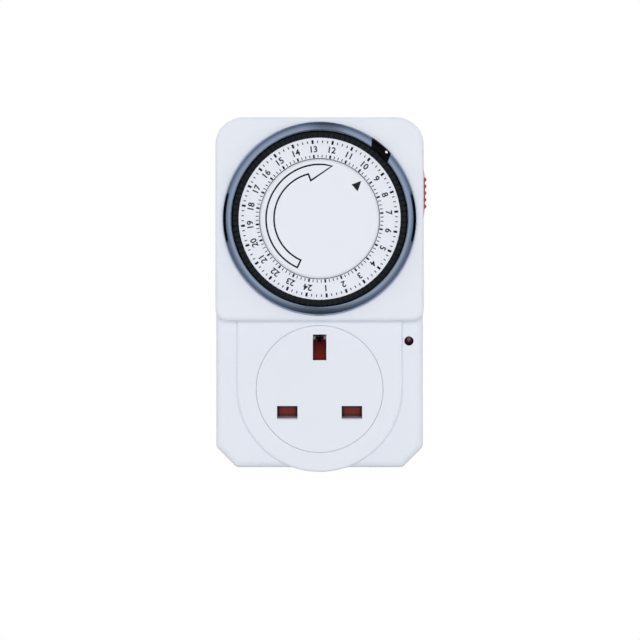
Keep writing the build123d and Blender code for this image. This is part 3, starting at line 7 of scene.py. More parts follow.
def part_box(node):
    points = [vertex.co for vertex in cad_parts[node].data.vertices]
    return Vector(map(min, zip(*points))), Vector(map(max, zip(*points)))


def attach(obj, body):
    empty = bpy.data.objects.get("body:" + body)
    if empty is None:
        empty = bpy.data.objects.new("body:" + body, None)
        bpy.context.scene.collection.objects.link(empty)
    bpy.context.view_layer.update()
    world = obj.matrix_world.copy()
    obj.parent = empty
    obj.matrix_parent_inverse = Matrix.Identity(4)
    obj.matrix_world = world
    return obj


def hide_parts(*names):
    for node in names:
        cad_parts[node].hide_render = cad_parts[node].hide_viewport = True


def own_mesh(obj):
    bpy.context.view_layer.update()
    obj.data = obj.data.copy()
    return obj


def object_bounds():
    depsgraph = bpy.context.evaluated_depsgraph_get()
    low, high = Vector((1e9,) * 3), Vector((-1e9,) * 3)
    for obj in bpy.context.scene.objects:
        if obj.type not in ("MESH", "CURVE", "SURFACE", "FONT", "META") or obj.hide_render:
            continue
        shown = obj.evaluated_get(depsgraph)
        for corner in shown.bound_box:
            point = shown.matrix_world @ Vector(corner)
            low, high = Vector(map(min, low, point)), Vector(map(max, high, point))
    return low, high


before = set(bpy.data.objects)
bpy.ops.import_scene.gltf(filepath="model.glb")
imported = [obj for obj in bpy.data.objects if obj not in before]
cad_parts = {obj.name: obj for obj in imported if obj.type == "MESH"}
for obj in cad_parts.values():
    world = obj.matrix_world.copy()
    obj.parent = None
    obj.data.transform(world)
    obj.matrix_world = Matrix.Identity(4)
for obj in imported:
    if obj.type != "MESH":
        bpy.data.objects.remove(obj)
cad_low, cad_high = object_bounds()

# A 24 hour plug in segment timer. Metres; the front faces -Y and Z is up.
# Clock angles are degrees clockwise from the top of the dial, as seen from the front.
MM = 0.001

# The colour sockets of a Mix node, by their place: both inputs and the result
mix_first, mix_second, mix_result = 6, 7, 2


# ---------------------------------------------------------------- node tree helpers
def feed(tree, socket, value):
    """Links a socket into an input, or sets the input's own value."""
    if isinstance(value, bpy.types.NodeSocket):
        tree.links.new(value, socket)
    else:
        socket.default_value = value


def put(tree, kind, inputs=None, **settings):
    """Adds a node with its settings and inputs."""
    node = tree.nodes.new(kind)
    for name, value in settings.items():
        setattr(node, name, value)
    for name, value in (inputs or {}).items():
        feed(tree, node.inputs[name], value)
    return node


def calc(tree, operation, *values):
    """One step of arithmetic; returns its output socket."""
    return put(tree, "ShaderNodeMath", dict(enumerate(values)), operation=operation).outputs[0]


def away_from(tree, value, middle):
    """How far a value is from a middle, either way."""
    return calc(tree, "ABSOLUTE", calc(tree, "SUBTRACT", value, middle))


def flat_distance(tree, across, up):
    """Length of an offset across and up."""
    return calc(tree, "SQRT", calc(tree, "ADD", calc(tree, "MULTIPLY", across, across),
                                   calc(tree, "MULTIPLY", up, up)))


def remap(tree, value, low, high, to_low, to_high):
    """Value from low..high laid onto to_low..to_high, held at the ends."""
    node = put(tree, "ShaderNodeMapRange", {
        "Value": value, "From Min": low, "From Max": high, "To Min": to_low, "To Max": to_high})
    return node.outputs["Result"]


def fade(tree, value, start, end):
    """0 at the start and 1 at the end, held outside them."""
    return remap(tree, value, start, end, 0.0, 1.0)


def noise(tree, place, scale, detail, rough):
    """Soft noise over a place; returns its value."""
    node = put(tree, "ShaderNodeTexNoise", {
        "Vector": place, "Scale": scale, "Detail": detail, "Roughness": rough})
    return node.outputs["Fac"]


def swing(tree, value, spread):
    """A noise value's distance from its middle, times a spread."""
    return calc(tree, "MULTIPLY", calc(tree, "SUBTRACT", value, 0.5), spread)


def tint(tree, colour, factor):
    """Colour made lighter or darker by a factor."""
    node = put(tree, "ShaderNodeVectorMath", {0: colour, "Scale": factor}, operation="SCALE")
    return node.outputs["Vector"]


def blend_colours(tree, share, first, second):
    """Mix of two colours."""
    node = put(tree, "ShaderNodeMix", {
        "Factor": share, mix_first: first, mix_second: second}, data_type="RGBA")
    return node.outputs[mix_result]


def object_place(tree):
    """The surface point in the object's own coordinates, which are the part's own."""
    return put(tree, "ShaderNodeTexCoord").outputs["Object"]


def add_socket(tree, side, label, kind, value=None):
    """A named input or output of a node group."""
    socket = tree.interface.new_socket(name=label, in_out=side, socket_type="NodeSocket" + kind)
    if value is not None:
        socket.default_value = value


def shader_group(name, inputs, outputs):
    """An empty shader group and its two ends."""
    tree = bpy.data.node_groups.new(name, "ShaderNodeTree")
    for label, kind, value in inputs:
        add_socket(tree, "INPUT", label, kind, value)
    for label, kind in outputs:
        add_socket(tree, "OUTPUT", label, kind)
    return tree, put(tree, "NodeGroupInput").outputs, put(tree, "NodeGroupOutput")


def bare_material(name):
    """A material with an empty node tree, and that tree."""
    material = bpy.data.materials.new(name)
    material.use_nodes = True
    material.node_tree.nodes.clear()
    return material, material.node_tree


# ---------------------------------------------------------------- shared surface effects
def build_moulded_skin():
    """Injection moulded plastic: slow tone drift, fine spark eroded grain, uneven sheen."""
    tree, given, out = shader_group(
        "moulded_skin",
        [("Colour", "Color", (0.8, 0.8, 0.8, 1.0)), ("Tone Spread", "Float", 0.02),
         ("Tone Scale", "Float", 30.0), ("Grain Scale", "Float", 4000.0),
         ("Roughness", "Float", 0.4), ("Roughness Spread", "Float", 0.06)],
        [("Colour", "Color"), ("Roughness", "Float"), ("Height", "Float")])
    place = object_place(tree)
    drift = noise(tree, place, given["Tone Scale"], detail=3.0, rough=0.55)
    grain = noise(tree, place, given["Grain Scale"], detail=4.0, rough=0.65)
    tone = calc(tree, "MULTIPLY_ADD", swing(tree, drift, given["Tone Spread"]), 2.0, 1.0)
    factor = calc(tree, "ADD", tone, swing(tree, grain, given["Tone Spread"]))
    feed(tree, out.inputs["Colour"], tint(tree, given["Colour"], factor))
    sheen_scale = calc(tree, "MULTIPLY", given["Tone Scale"], 4.0)
    sheen = noise(tree, place, sheen_scale, detail=5.0, rough=0.6)
    uneven = swing(tree, sheen, given["Roughness Spread"])
    feed(tree, out.inputs["Roughness"],
         calc(tree, "MULTIPLY_ADD", uneven, 2.0, given["Roughness"]))
    feed(tree, out.inputs["Height"], grain)
    return tree


def build_drawn_metal():
    """Rolled or drawn metal: fine streaks along one axis, and faint stains, which are duller."""
    streak_tones = (0.93, 1.05)
    stain_scale = 260.0
    stain_duller = 0.25
    tree, given, out = shader_group(
        "drawn_metal",
        [("Colour", "Color", (0.6, 0.6, 0.6, 1.0)), ("Stain", "Color", (0.3, 0.3, 0.3, 1.0)),
         ("Streak Scale", "Vector", (300.0, 6000.0, 6000.0)), ("Stain Share", "Float", 0.2),
         ("Roughness", "Float", 0.25), ("Roughness Spread", "Float", 0.1)],
        [("Colour", "Color"), ("Roughness", "Float"), ("Height", "Float")])
    place = object_place(tree)
    stretched = put(tree, "ShaderNodeMapping", {"Vector": place, "Scale": given["Streak Scale"]})
    streak = noise(tree, stretched.outputs["Vector"], 1.0, detail=3.0, rough=0.6)
    cloud = fade(tree, noise(tree, place, stain_scale, detail=4.0, rough=0.6), 0.5, 0.72)
    share = calc(tree, "MULTIPLY", cloud, given["Stain Share"])
    toned = tint(tree, given["Colour"], remap(tree, streak, 0.3, 0.7, *streak_tones))
    feed(tree, out.inputs["Colour"], blend_colours(tree, share, toned, given["Stain"]))
    uneven = swing(tree, streak, given["Roughness Spread"])
    rough = calc(tree, "MULTIPLY_ADD", uneven, 2.0, given["Roughness"])
    feed(tree, out.inputs["Roughness"], calc(tree, "MULTIPLY_ADD", share, stain_duller, rough))
    feed(tree, out.inputs["Height"], streak)
    return tree


def build_handling():
    """Faint finger smears and hairline scratches left by handling."""
    smear_scale = 55.0
    scratch_turn = (0.4, 0.7, 0.3)
    scratch_scale = (90.0, 900.0, 5200.0)
    tree, given, out = shader_group(
        "handling",
        [("Colour", "Color", (0.8, 0.8, 0.8, 1.0)), ("Roughness", "Float", 0.4),
         ("Smear", "Float", 0.1), ("Scratch", "Float", 0.1)],
        [("Colour", "Color"), ("Roughness", "Float")])
    place = object_place(tree)
    patch = fade(tree, noise(tree, place, smear_scale, detail=2.0, rough=0.5), 0.52, 0.68)
    slanted = put(tree, "ShaderNodeMapping", {
        "Vector": place, "Rotation": scratch_turn, "Scale": scratch_scale}).outputs["Vector"]
    line = fade(tree, noise(tree, slanted, 1.0, detail=2.0, rough=0.5), 0.70, 0.76)
    smeared = calc(tree, "MULTIPLY_ADD", patch, given["Smear"], given["Roughness"])
    scratched = calc(tree, "MULTIPLY", line, given["Scratch"])
    feed(tree, out.inputs["Roughness"], calc(tree, "ADD", smeared, scratched))
    darker = calc(tree, "SUBTRACT", 1.0, calc(tree, "MULTIPLY", scratched, 0.5))
    feed(tree, out.inputs["Colour"], tint(tree, given["Colour"], darker))
    return tree


moulded_skin = build_moulded_skin()
drawn_metal = build_drawn_metal()
handling = build_handling()


# ---------------------------------------------------------------- painted light and shade at fixed places
aperture_x = 11.1 * MM   # the lower apertures' distance from the middle


def place_parts(tree):
    """X and Z of the surface point, in metres."""
    parts = put(tree, "ShaderNodeSeparateXYZ", {"Vector": object_place(tree)}).outputs
    return parts["X"], parts["Z"]


def box_share(tree, x, z, box, soft):
    """1 inside a box (middle x, middle z, half width, half height), falling to 0 at its edge.
    The box and the soft edge are in millimetres."""
    middle_x, middle_z, half_x, half_z = (size * MM for size in box)
    from_x = calc(tree, "SUBTRACT", half_x, away_from(tree, x, middle_x))
    from_z = calc(tree, "SUBTRACT", half_z, away_from(tree, z, middle_z))
    return fade(tree, calc(tree, "MINIMUM", from_x, from_z), 0.0, soft * MM)


def rim_dark(tree, value, edge, inside, darkest, brightest=1.0):
    """Factor that rises from its darkest at an aperture's edge to its brightest further in.
    Both places are in millimetres."""
    return remap(tree, value, edge * MM, inside * MM, darkest, brightest)


# Painted light and shade on the shutter where it shows in the apertures. Rims: edge and end of the
# painted shade in mm, and the darkest factor; the slope in the upper one also has its brightest,
# painted light lower down. Then the stem's painted darker red, the painted grey for the lower
# apertures' shaded wall, and the painted highlights on the stem's top corners.
line_sides = (3.45, 2.4, 0.0)
line_bottom = (-1.3, -0.4, 0.45)
line_top = (2.05, 1.3, 0.6)
earth_sides = (2.3, 1.5, 0.45)
earth_bottom = (17.8, 18.6, 0.4)
earth_slope = (24.2, 19.4, 0.6, 1.6)
stem_start = (14.0 * MM, 15.0 * MM)
stem_shade_share = 0.88
stem_shade_red = (0.11, 0.008, 0.004, 1.0)
lower_wall_rise = (-1.25 * MM, -1.8 * MM)
lower_wall_grey = (0.24, 0.20, 0.23, 1.0)
corner_highlight_box = (1.85, 25.6, 0.55, 0.75)
corner_highlight_soft = 0.35
corner_highlight_pink = (0.70, 0.48, 0.48, 1.0)


def shutter_shade(tree, colour):
    """Painted shade round the rims behind the apertures, with painted light lower down the upper
    one; a painted grey at the foot of the lower two, for their shaded lower wall; and behind the
    upper one a stem painted a darker, deeper red for its weaker light, with painted highlights on
    its top corners."""
    x, z = place_parts(tree)
    across = calc(tree, "ABSOLUTE", x)
    off_line = away_from(tree, across, aperture_x)
    line_ends = calc(tree, "MULTIPLY",
                     rim_dark(tree, z, *line_bottom), rim_dark(tree, z, *line_top))
    line = calc(tree, "MULTIPLY", rim_dark(tree, off_line, *line_sides), line_ends)
    earth_ends = calc(tree, "MULTIPLY",
                      rim_dark(tree, z, *earth_bottom), rim_dark(tree, z, *earth_slope))
    earth = calc(tree, "MULTIPLY", rim_dark(tree, across, *earth_sides), earth_ends)
    stem = fade(tree, z, *stem_start)
    below = calc(tree, "SUBTRACT", 1.0, stem)
    # Painted shade: the stem a darker, deeper red, for the weaker light on it
    colour = blend_colours(tree, calc(tree, "MULTIPLY", stem, stem_shade_share), colour, stem_shade_red)
    shade = calc(tree, "ADD", calc(tree, "MULTIPLY", line, below),
                 calc(tree, "MULTIPLY", earth, stem))
    colour = tint(tree, colour, shade)
    # Painted grey at the foot of the lower apertures, standing for their shaded lower wall
    lower_wall_shade = calc(tree, "MULTIPLY", below, fade(tree, z, *lower_wall_rise))
    colour = blend_colours(tree, lower_wall_shade, colour, lower_wall_grey)
    # Painted highlights on the stem's top corners
    corner = box_share(tree, across, z, corner_highlight_box, corner_highlight_soft)
    return blend_colours(tree, corner, colour, corner_highlight_pink)


# The lips below the two lower apertures: the shade's sides off their middle line, its top, and
# where it is darkest and gone
lip_sides = (3.0 * MM, 3.5 * MM)
lip_top = (-1.95 * MM, -1.85 * MM)
lip_depth = (-2.0 * MM, -2.9 * MM)
lip_dark = 0.5


def lip_shade(tree, colour):
    """Soft shade on the rounded lips below the two lower apertures."""
    x, z = place_parts(tree)
    off_line = away_from(tree, calc(tree, "ABSOLUTE", x), aperture_x)
    beside = fade(tree, off_line, *lip_sides)
    above = fade(tree, z, *lip_top)
    depth = remap(tree, z, *lip_depth, lip_dark, 1.0)
    return tint(tree, colour, calc(tree, "MAXIMUM", depth, calc(tree, "MAXIMUM", beside, above)))


# The mouth of the upper aperture, as box_share takes it, and the painted shade there
mouth_box = (0.0, 22.2, 3.0, 5.4)
mouth_soft = 0.5
mouth_dark = (0.016, 0.010, 0.007, 1.0)


def mouth_shade(tree, colour):
    """Painted shade: the earth clip near black where it shows through the upper aperture, standing
    for the shade deep inside it.
    """
    x, z = place_parts(tree)
    share = box_share(tree, x, z, mouth_box, mouth_soft)
    return blend_colours(tree, share, colour, mouth_dark)


# The lens's middle, the painted highlight above it and the painted warm light on its upper rim
lens_x, lens_z = 30.7 * MM, 24.4 * MM
highlight_lift = 0.55 * MM
highlight_edge = (0.35 * MM, 0.85 * MM)
highlight_core = 0.3 * MM
highlight_pink = (0.17, 0.09, 0.10, 1.0)
lens_rim_light = (0.8 * MM, 1.7 * MM)
rim_light_share = 0.35
rim_light_red = (0.16, 0.035, 0.035, 1.0)


def lens_glow(tree, colour):
    """Painted highlight: a soft pale spot above the lens's middle, weaker at its core; and painted
    warm light on the upper rim.
    """
    x, z = place_parts(tree)
    up = calc(tree, "SUBTRACT", z, lens_z)
    away = flat_distance(tree, calc(tree, "SUBTRACT", x, lens_x),
                         calc(tree, "SUBTRACT", up, highlight_lift))
    spot = calc(tree, "MULTIPLY", remap(tree, away, *highlight_edge, 1.0, 0.0),
                remap(tree, away, 0.0, highlight_core, 0.5, 1.0))
    rim_light = remap(tree, up, *lens_rim_light, 0.0, rim_light_share)
    colour = blend_colours(tree, rim_light, colour, rim_light_red)
    return blend_colours(tree, spot, colour, highlight_pink)


# A painted reflection across the bezel ring, a black patch standing for a dark gap in the studio:
# the clock angle of its middle where the ring starts, its drift for each mm outwards, and its half
# width, in degrees
ring_middle_z = sum(corner.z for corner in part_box("bezel_ring")) / 2
patch_start = 29.5 * MM
patch_clock = 43.8
patch_slant = -1.0
patch_half = 7.4
patch_soft = 0.2
reflection_black = (0.007, 0.007, 0.008, 1.0)


def index_patch(tree, colour):
    """Painted reflection: a black patch across the ring, behind the white index dot, standing for a
    dark gap in the studio; its sides lean.
    """
    x, z = place_parts(tree)
    up = calc(tree, "SUBTRACT", z, ring_middle_z)
    outward = calc(tree, "SUBTRACT", flat_distance(tree, x, up), patch_start)
    middle = calc(tree, "MULTIPLY_ADD", outward, patch_slant / MM, patch_clock)
    clock = calc(tree, "DEGREES", calc(tree, "ARCTAN2", x, up))
    share = remap(tree, away_from(tree, clock, middle),
                  patch_half - patch_soft, patch_half + patch_soft, 1.0, 0.0)
    return blend_colours(tree, share, colour, reflection_black)


# ---------------------------------------------------------------- finishes
finishes = {}


def add_finish(name, skin, skin_inputs, relief, smear, scratch, paint, shader):
    """A material from a skin group, the handling group and the shader's own constants.
    paint, if given, paints light and shade onto this piece at fixed places."""
    material, tree = bare_material(name)
    surface = put(tree, "ShaderNodeGroup", skin_inputs, node_tree=skin).outputs
    worn = put(tree, "ShaderNodeGroup", {
        "Colour": surface["Colour"], "Roughness": surface["Roughness"],
        "Smear": smear, "Scratch": scratch}, node_tree=handling).outputs
    bump = put(tree, "ShaderNodeBump", {
        "Strength": 1.0, "Distance": relief, "Height": surface["Height"]})
    colour = paint(tree, worn["Colour"]) if paint else worn["Colour"]
    bsdf = put(tree, "ShaderNodeBsdfPrincipled", {
        "Base Color": colour, "Roughness": worn["Roughness"],
        "Normal": bump.outputs["Normal"], **(shader or {})})
    put(tree, "ShaderNodeOutputMaterial", {"Surface": bsdf.outputs["BSDF"]})
    finishes[name] = material


def plastic(name, colour, roughness, tone=0.02, grain=4000.0, relief=4e-6, spread=0.05,
            paint=None, shader=None):
    """Adds a moulded plastic, ink or glass to the finishes; its relief is in metres."""
    inputs = {"Colour": (*colour, 1.0), "Tone Spread": tone, "Tone Scale": 30.0,
              "Grain Scale": grain, "Roughness": roughness, "Roughness Spread": spread}
    add_finish(name, moulded_skin, inputs, relief, smear=0.03, scratch=0.04,
               paint=paint, shader=shader)


def metal(name, colour, stain, roughness, streak=(300.0, 6000.0, 6000.0), paint=None,
          metallic=1.0):
    """Adds a rolled or drawn metal to the finishes."""
    inputs = {"Colour": (*colour, 1.0), "Stain": (*stain, 1.0), "Streak Scale": streak,
              "Stain Share": 0.2, "Roughness": roughness, "Roughness Spread": 0.1}
    add_finish(name, drawn_metal, inputs, relief=2e-6, smear=0.05, scratch=0.1,
               paint=paint, shader={"Metallic": metallic})


cover_colour = (0.76, 0.79, 0.86)
brass_colour = (0.80, 0.61, 0.30)
brass_stain = (0.45, 0.27, 0.10)
endways_streak = (6000.0, 300.0, 6000.0)   # drawn along Y, as the pins are

plastic("cover_white", cover_colour, 0.36)
plastic("socket_white", cover_colour, 0.36, paint=lip_shade)
plastic("dial_white", (0.78, 0.80, 0.87), 0.42, tone=0.012, relief=2e-6)
# Its paint is a painted reflection: a black patch across the ring
plastic("black_gloss", (0.31, 0.37, 0.49), 0.07, tone=0.05, grain=9000.0, relief=2e-7,
        spread=0.02, paint=index_patch, shader={"Metallic": 1.0})
plastic("black_plastic", (0.007, 0.010, 0.013), 0.5, tone=0.1,
        shader={"Specular IOR Level": 0.18})
# Its paint is a painted highlight and painted rim light on the lens
plastic("lens_red", (0.012, 0.003, 0.005), 0.12, tone=0.2, relief=1e-6, paint=lens_glow,
        shader={"Specular IOR Level": 0.1})
plastic("red_plastic", (0.5, 0.05, 0.045), 0.35, tone=0.05)
# Its paint is painted shade, painted highlights and a painted shaded wall on the shutter
plastic("shutter_plastic", (0.19, 0.040, 0.032), 0.5, tone=0.08, paint=shutter_shade,
        shader={"Specular IOR Level": 0.1})
plastic("grey_plastic", (0.45, 0.46, 0.48), 0.5, tone=0.05)
plastic("natural_nylon", (0.75, 0.73, 0.66), 0.38, tone=0.04,
        shader={"Subsurface Weight": 0.1})
plastic("coil_winding", (0.45, 0.2, 0.08), 0.35, tone=0.15, grain=5000.0, relief=2e-5)
plastic("rotor_ferrite", (0.06, 0.06, 0.065), 0.6, tone=0.2, relief=1e-5)
plastic("neon_glass", (0.95, 0.8, 0.7), 0.06, relief=1e-6, shader={"Transmission Weight": 0.9})
plastic("resistor_body", (0.62, 0.5, 0.33), 0.35, tone=0.1)
plastic("lead_insulation", (0.35, 0.1, 0.05), 0.45, tone=0.06)
plastic("ink_black", (0.010, 0.011, 0.015), 0.5, tone=0.3, grain=14000.0, relief=1e-6,
        shader={"Specular IOR Level": 0.2})
plastic("ink_white", (0.85, 0.87, 0.9), 0.45, tone=0.05, relief=1e-6)
metal("zinc_steel", (0.66, 0.67, 0.69), (0.50, 0.52, 0.55), 0.36, metallic=0.8)
metal("spring_steel", (0.55, 0.56, 0.58), (0.3, 0.3, 0.3), 0.25)
metal("brass", brass_colour, brass_stain, 0.22)
# Its paint is painted shade where the clip shows through the upper aperture
metal("earth_brass", brass_colour, brass_stain, 0.22, paint=mouth_shade)
metal("pin_brass", (0.82, 0.65, 0.36), (0.60, 0.42, 0.20), 0.38, streak=endways_streak,
      metallic=0.7)

# Nodes whose finish isn't the plain one of their slot
variants = {
    "centre_cap": "dial_white", "number_ring": "dial_white", "socket_face": "socket_white",
    "earth_clip": "earth_brass", "live_pin": "pin_brass", "neutral_pin": "pin_brass",
    "earth_pin": "pin_brass"}
for node_name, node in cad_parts.items():
    slot_name = node.data.materials[0].name
    plain = "cover_white" if slot_name == "white_plastic" else slot_name
    for index in range(len(node.data.materials)):
        node.data.materials[index] = finishes[variants.get(node_name, plain)]


# ---------------------------------------------------------------- places on the dial
ring_low, ring_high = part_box("number_ring")
dial_x = (ring_low.x + ring_high.x) / 2
dial_z = (ring_low.z + ring_high.z) / 2
hour_twelve_angle = 9.75
hour_step = 15.0
quarters = 96
hours = 24
ink_relief = 0.03 * MM
ink_sunk = 0.01 * MM
ink_front = ring_low.y - ink_relief / 2 + ink_sunk


def on_dial(radius, clock, y):
    """Point at a radius and clock angle in front of the dial's centre."""
    turn = math.radians(clock)
    return Vector((dial_x + radius * math.sin(turn), y, dial_z + radius * math.cos(turn)))


def in_scene(name, data):
    """A new object in the scene, at the world origin."""
    obj = bpy.data.objects.new(name, data)
    bpy.context.scene.collection.objects.link(obj)
    return obj


def piece(name, mesh, finish, body):
    """An object in one finish that rides on a body."""
    obj = in_scene(name, mesh)
    mesh.materials.clear()
    mesh.materials.append(finishes[finish])
    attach(obj, body)
    return obj


def mesh_from(bm, name):
    """A mesh whose faces point outwards."""
    bmesh.ops.recalc_face_normals(bm, faces=bm.faces)
    mesh = bpy.data.meshes.new(name)
    bm.to_mesh(mesh)
    bm.free()
    return mesh


def closed_tube(bm, rows):
    """Faces between each four cornered row and the next, and from the last to the first."""
    for here, there in zip(rows, rows[1:] + rows[:1]):
        for k in range(4):
            n = (k + 1) % 4
            bm.faces.new((here[k], here[n], there[n], there[k]))


def joined(name, meshes):
    """One mesh from several, each already placed."""
    bm = bmesh.new()
    for mesh in meshes:
        bm.from_mesh(mesh)
        bpy.data.meshes.remove(mesh)
    mesh = bpy.data.meshes.new(name)
    bm.to_mesh(mesh)
    bm.free()
    return mesh


def evaluated_mesh(obj):
    """The plain mesh of an object with its modifiers, or of a text; the object goes."""
    depsgraph = bpy.context.evaluated_depsgraph_get()
    mesh = bpy.data.meshes.new_from_object(obj.evaluated_get(depsgraph))
    bpy.data.objects.remove(obj)
    return mesh


# ---------------------------------------------------------------- geometry trees
def geometry_tree(name, sizes):
    """An empty geometry tree and its inputs: named sizes and a material."""
    tree = bpy.data.node_groups.new(name, "GeometryNodeTree")
    add_socket(tree, "INPUT", "Geometry", "Geometry")
    for label, kind, value in sizes:
        add_socket(tree, "INPUT", label, kind, value)
    add_socket(tree, "INPUT", "Material", "Material")
    add_socket(tree, "OUTPUT", "Geometry", "Geometry")
    return tree, put(tree, "NodeGroupInput").outputs


def end_tree(tree, geometry, material):
    """Ends a tree in real meshes of one material."""
    solid = put(tree, "GeometryNodeRealizeInstances", {"Geometry": geometry})
    coated = put(tree, "GeometryNodeSetMaterial", {
        "Geometry": solid.outputs["Geometry"], "Material": material})
    put(tree, "NodeGroupOutput", {"Geometry": coated.outputs["Geometry"]})
    return tree


def grown(tree, settings, name):
    """The plain mesh that a tree makes with these settings."""
    carrier = in_scene(name + "_carrier", bpy.data.meshes.new(name + "_carrier"))
    modifier = carrier.modifiers.new("grow", "NODES")
    modifier.node_group = tree
    for item in tree.interface.items_tree:
        if item.in_out == "INPUT" and item.name in settings:
            modifier[item.identifier] = settings[item.name]
    mesh = evaluated_mesh(carrier)
    mesh.name = name
    return mesh


# ---------------------------------------------------------------- printed ticks
def build_dial_marks():
    """Tree: a ring of printed bars round the Y axis."""
    tree, given = geometry_tree("dial_marks", [
        ("Count", "Int", quarters), ("First Angle", "Float", 0.0), ("Radius", "Float", 20 * MM),
        ("Length", "Float", MM), ("Width", "Float", 0.3 * MM), ("Relief", "Float", ink_relief)])
    line = put(tree, "GeometryNodeMeshLine", {"Count": given["Count"], "Offset": (0.0, 0.0, 0.0)})
    index = put(tree, "GeometryNodeInputIndex").outputs["Index"]
    step = calc(tree, "DIVIDE", 2 * math.pi, given["Count"])
    angle = calc(tree, "ADD", calc(tree, "MULTIPLY", index, step), given["First Angle"])
    place = put(tree, "ShaderNodeCombineXYZ", {
        "X": calc(tree, "MULTIPLY", calc(tree, "SINE", angle), given["Radius"]),
        "Z": calc(tree, "MULTIPLY", calc(tree, "COSINE", angle), given["Radius"])})
    spread = put(tree, "GeometryNodeSetPosition", {
        "Geometry": line.outputs["Mesh"], "Position": place.outputs["Vector"]})
    size = put(tree, "ShaderNodeCombineXYZ", {
        "X": given["Width"], "Y": given["Relief"], "Z": given["Length"]})
    bar = put(tree, "GeometryNodeMeshCube", {"Size": size.outputs["Vector"]})
    facing = put(tree, "ShaderNodeCombineXYZ", {"Y": angle})
    copies = put(tree, "GeometryNodeInstanceOnPoints", {
        "Points": spread.outputs["Geometry"], "Instance": bar.outputs["Mesh"],
        "Rotation": facing.outputs["Vector"]})
    return end_tree(tree, copies.outputs["Instances"], given["Material"])


dial_marks = build_dial_marks()
# Rows of ticks: count, middle radius, length and width, the last three in mm
mark_rows = [
    (quarters, 21.4, 0.95, 0.30),
    (hours, 21.4, 1.15, 0.62),
    (quarters, 26.35, 0.85, 0.34),
    (hours, 26.35, 1.35, 0.74),
]
mark_meshes = []
for count, radius, length, width in mark_rows:
    mesh = grown(dial_marks, {
        "Count": count, "First Angle": math.radians(hour_twelve_angle), "Radius": radius * MM,
        "Length": length * MM, "Width": width * MM, "Relief": ink_relief,
        "Material": finishes["ink_black"]}, "marks")
    mesh.transform(Matrix.Translation((dial_x, ink_front, dial_z)))
    mark_meshes.append(mesh)
piece("dial_marks", joined("dial_marks", mark_meshes), "ink_black", "dial")


# ---------------------------------------------------------------- numerals
numeral_height = 2.15 * MM
numeral_widening = 1.02
numeral_weight = 0.075 * MM
numeral_lead = 0.1   # degrees ahead of its tick
numeral_radius = 23.75 * MM
digit_share = 0.73   # a digit's height as a share of the typeface's size


def numeral(text):
    """One printed number, upright at the origin and facing the front."""
    curve = bpy.data.curves.new("numeral", "FONT")
    curve.body = text
    curve.align_x = "CENTER"
    curve.align_y = "CENTER"
    curve.size = numeral_height / digit_share
    curve.offset = numeral_weight
    curve.extrude = ink_relief / 2
    curve.resolution_u = 4
    mesh = evaluated_mesh(in_scene("numeral", curve))
    bpy.data.curves.remove(curve)
    mesh.transform(Matrix.Diagonal((numeral_widening, 1.0, 1.0, 1.0)))
    mesh.transform(Matrix.Rotation(math.pi / 2, 4, "X"))
    return mesh


numeral_meshes = []
for hour in range(1, hours + 1):
    clock = hour_twelve_angle + (12 - hour) * hour_step + numeral_lead
    mesh = numeral(str(hour))
    turn = Matrix.Rotation(math.radians(clock), 4, "Y")
    mesh.transform(Matrix.Translation(on_dial(numeral_radius, clock, ink_front)) @ turn)
    numeral_meshes.append(mesh)
piece("dial_numerals", joined("dial_numerals", numeral_meshes),
      "ink_black", "dial")


# ---------------------------------------------------------------- prints on the centre cap
print_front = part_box("centre_cap")[0].y - ink_relief + ink_sunk
# Corners of the prints: clock angle and radius in mm. The arrow is one closed line.
arrow_outer = [(204.5, 18.38), (305.0, 18.32), (350.0, 18.6), (365.0, 18.62)]
arrow_head = [(373.3, 18.54), (347.0, 13.4)]
arrow_inner = [(345.9, 15.78), (285.0, 15.62), (204.5, 15.57)]
arrow_width = 0.58 * MM
mitre_limit = 0.6
pointer_corners = [(47.8, 19.3), (54.4, 16.05), (43.1, 16.05)]
pointer_rounding = 0.08 * MM


def flat_points(corners):
    """Points on the dial at (clock angle, radius) corners, at no depth yet."""
    return [on_dial(radius * MM, clock, 0.0) for clock, radius in corners]


def arc_corners(corners, step=3.0):
    """Corners with more between them, a step apart, the radius drifting from one to the next."""
    filled = []
    for (start, first), (end, last) in zip(corners, corners[1:]):
        count = max(2, int(abs(end - start) / step) + 1)
        for k in range(count - 1):
            share = k / (count - 1)
            filled.append((start + (end - start) * share, first + (last - first) * share))
    return filled + corners[-1:]


def printed_line(name, points, width, y):
    """A closed printed line of even width through points, with mitred corners."""
    bm = bmesh.new()
    rows = []
    for index, point in enumerate(points):
        before = (point - points[index - 1]).normalized()
        after = (points[(index + 1) % len(points)] - point).normalized()
        side_before = Vector((before.z, 0.0, -before.x))
        side_after = Vector((after.z, 0.0, -after.x))
        middle = (side_before + side_after).normalized()
        reach = width / 2 / max(mitre_limit, middle.dot(side_after))
        corners = []
        for side, depth in ((-1, y), (1, y), (1, y + ink_relief), (-1, y + ink_relief)):
            spot = point + middle * (side * reach)
            corners.append(bm.verts.new((spot.x, depth, spot.z)))
        rows.append(corners)
    closed_tube(bm, rows)
    return mesh_from(bm, name)


def printed_patch(name, points, y, rounding):
    """A filled printed shape with slightly rounded corners."""
    bm = bmesh.new()
    bm.faces.new([bm.verts.new((point.x, y, point.z)) for point in points])
    bmesh.ops.bevel(bm, geom=list(bm.verts), offset=rounding, segments=3, affect="VERTICES")
    front = [vert for face in bm.faces for vert in face.verts]
    back = [bm.verts.new(vert.co + Vector((0.0, ink_relief, 0.0))) for vert in front]
    bm.faces.new(list(reversed(back)))
    for k in range(len(front)):
        bm.faces.new((front[k - 1], back[k - 1], back[k], front[k]))
    return mesh_from(bm, name)


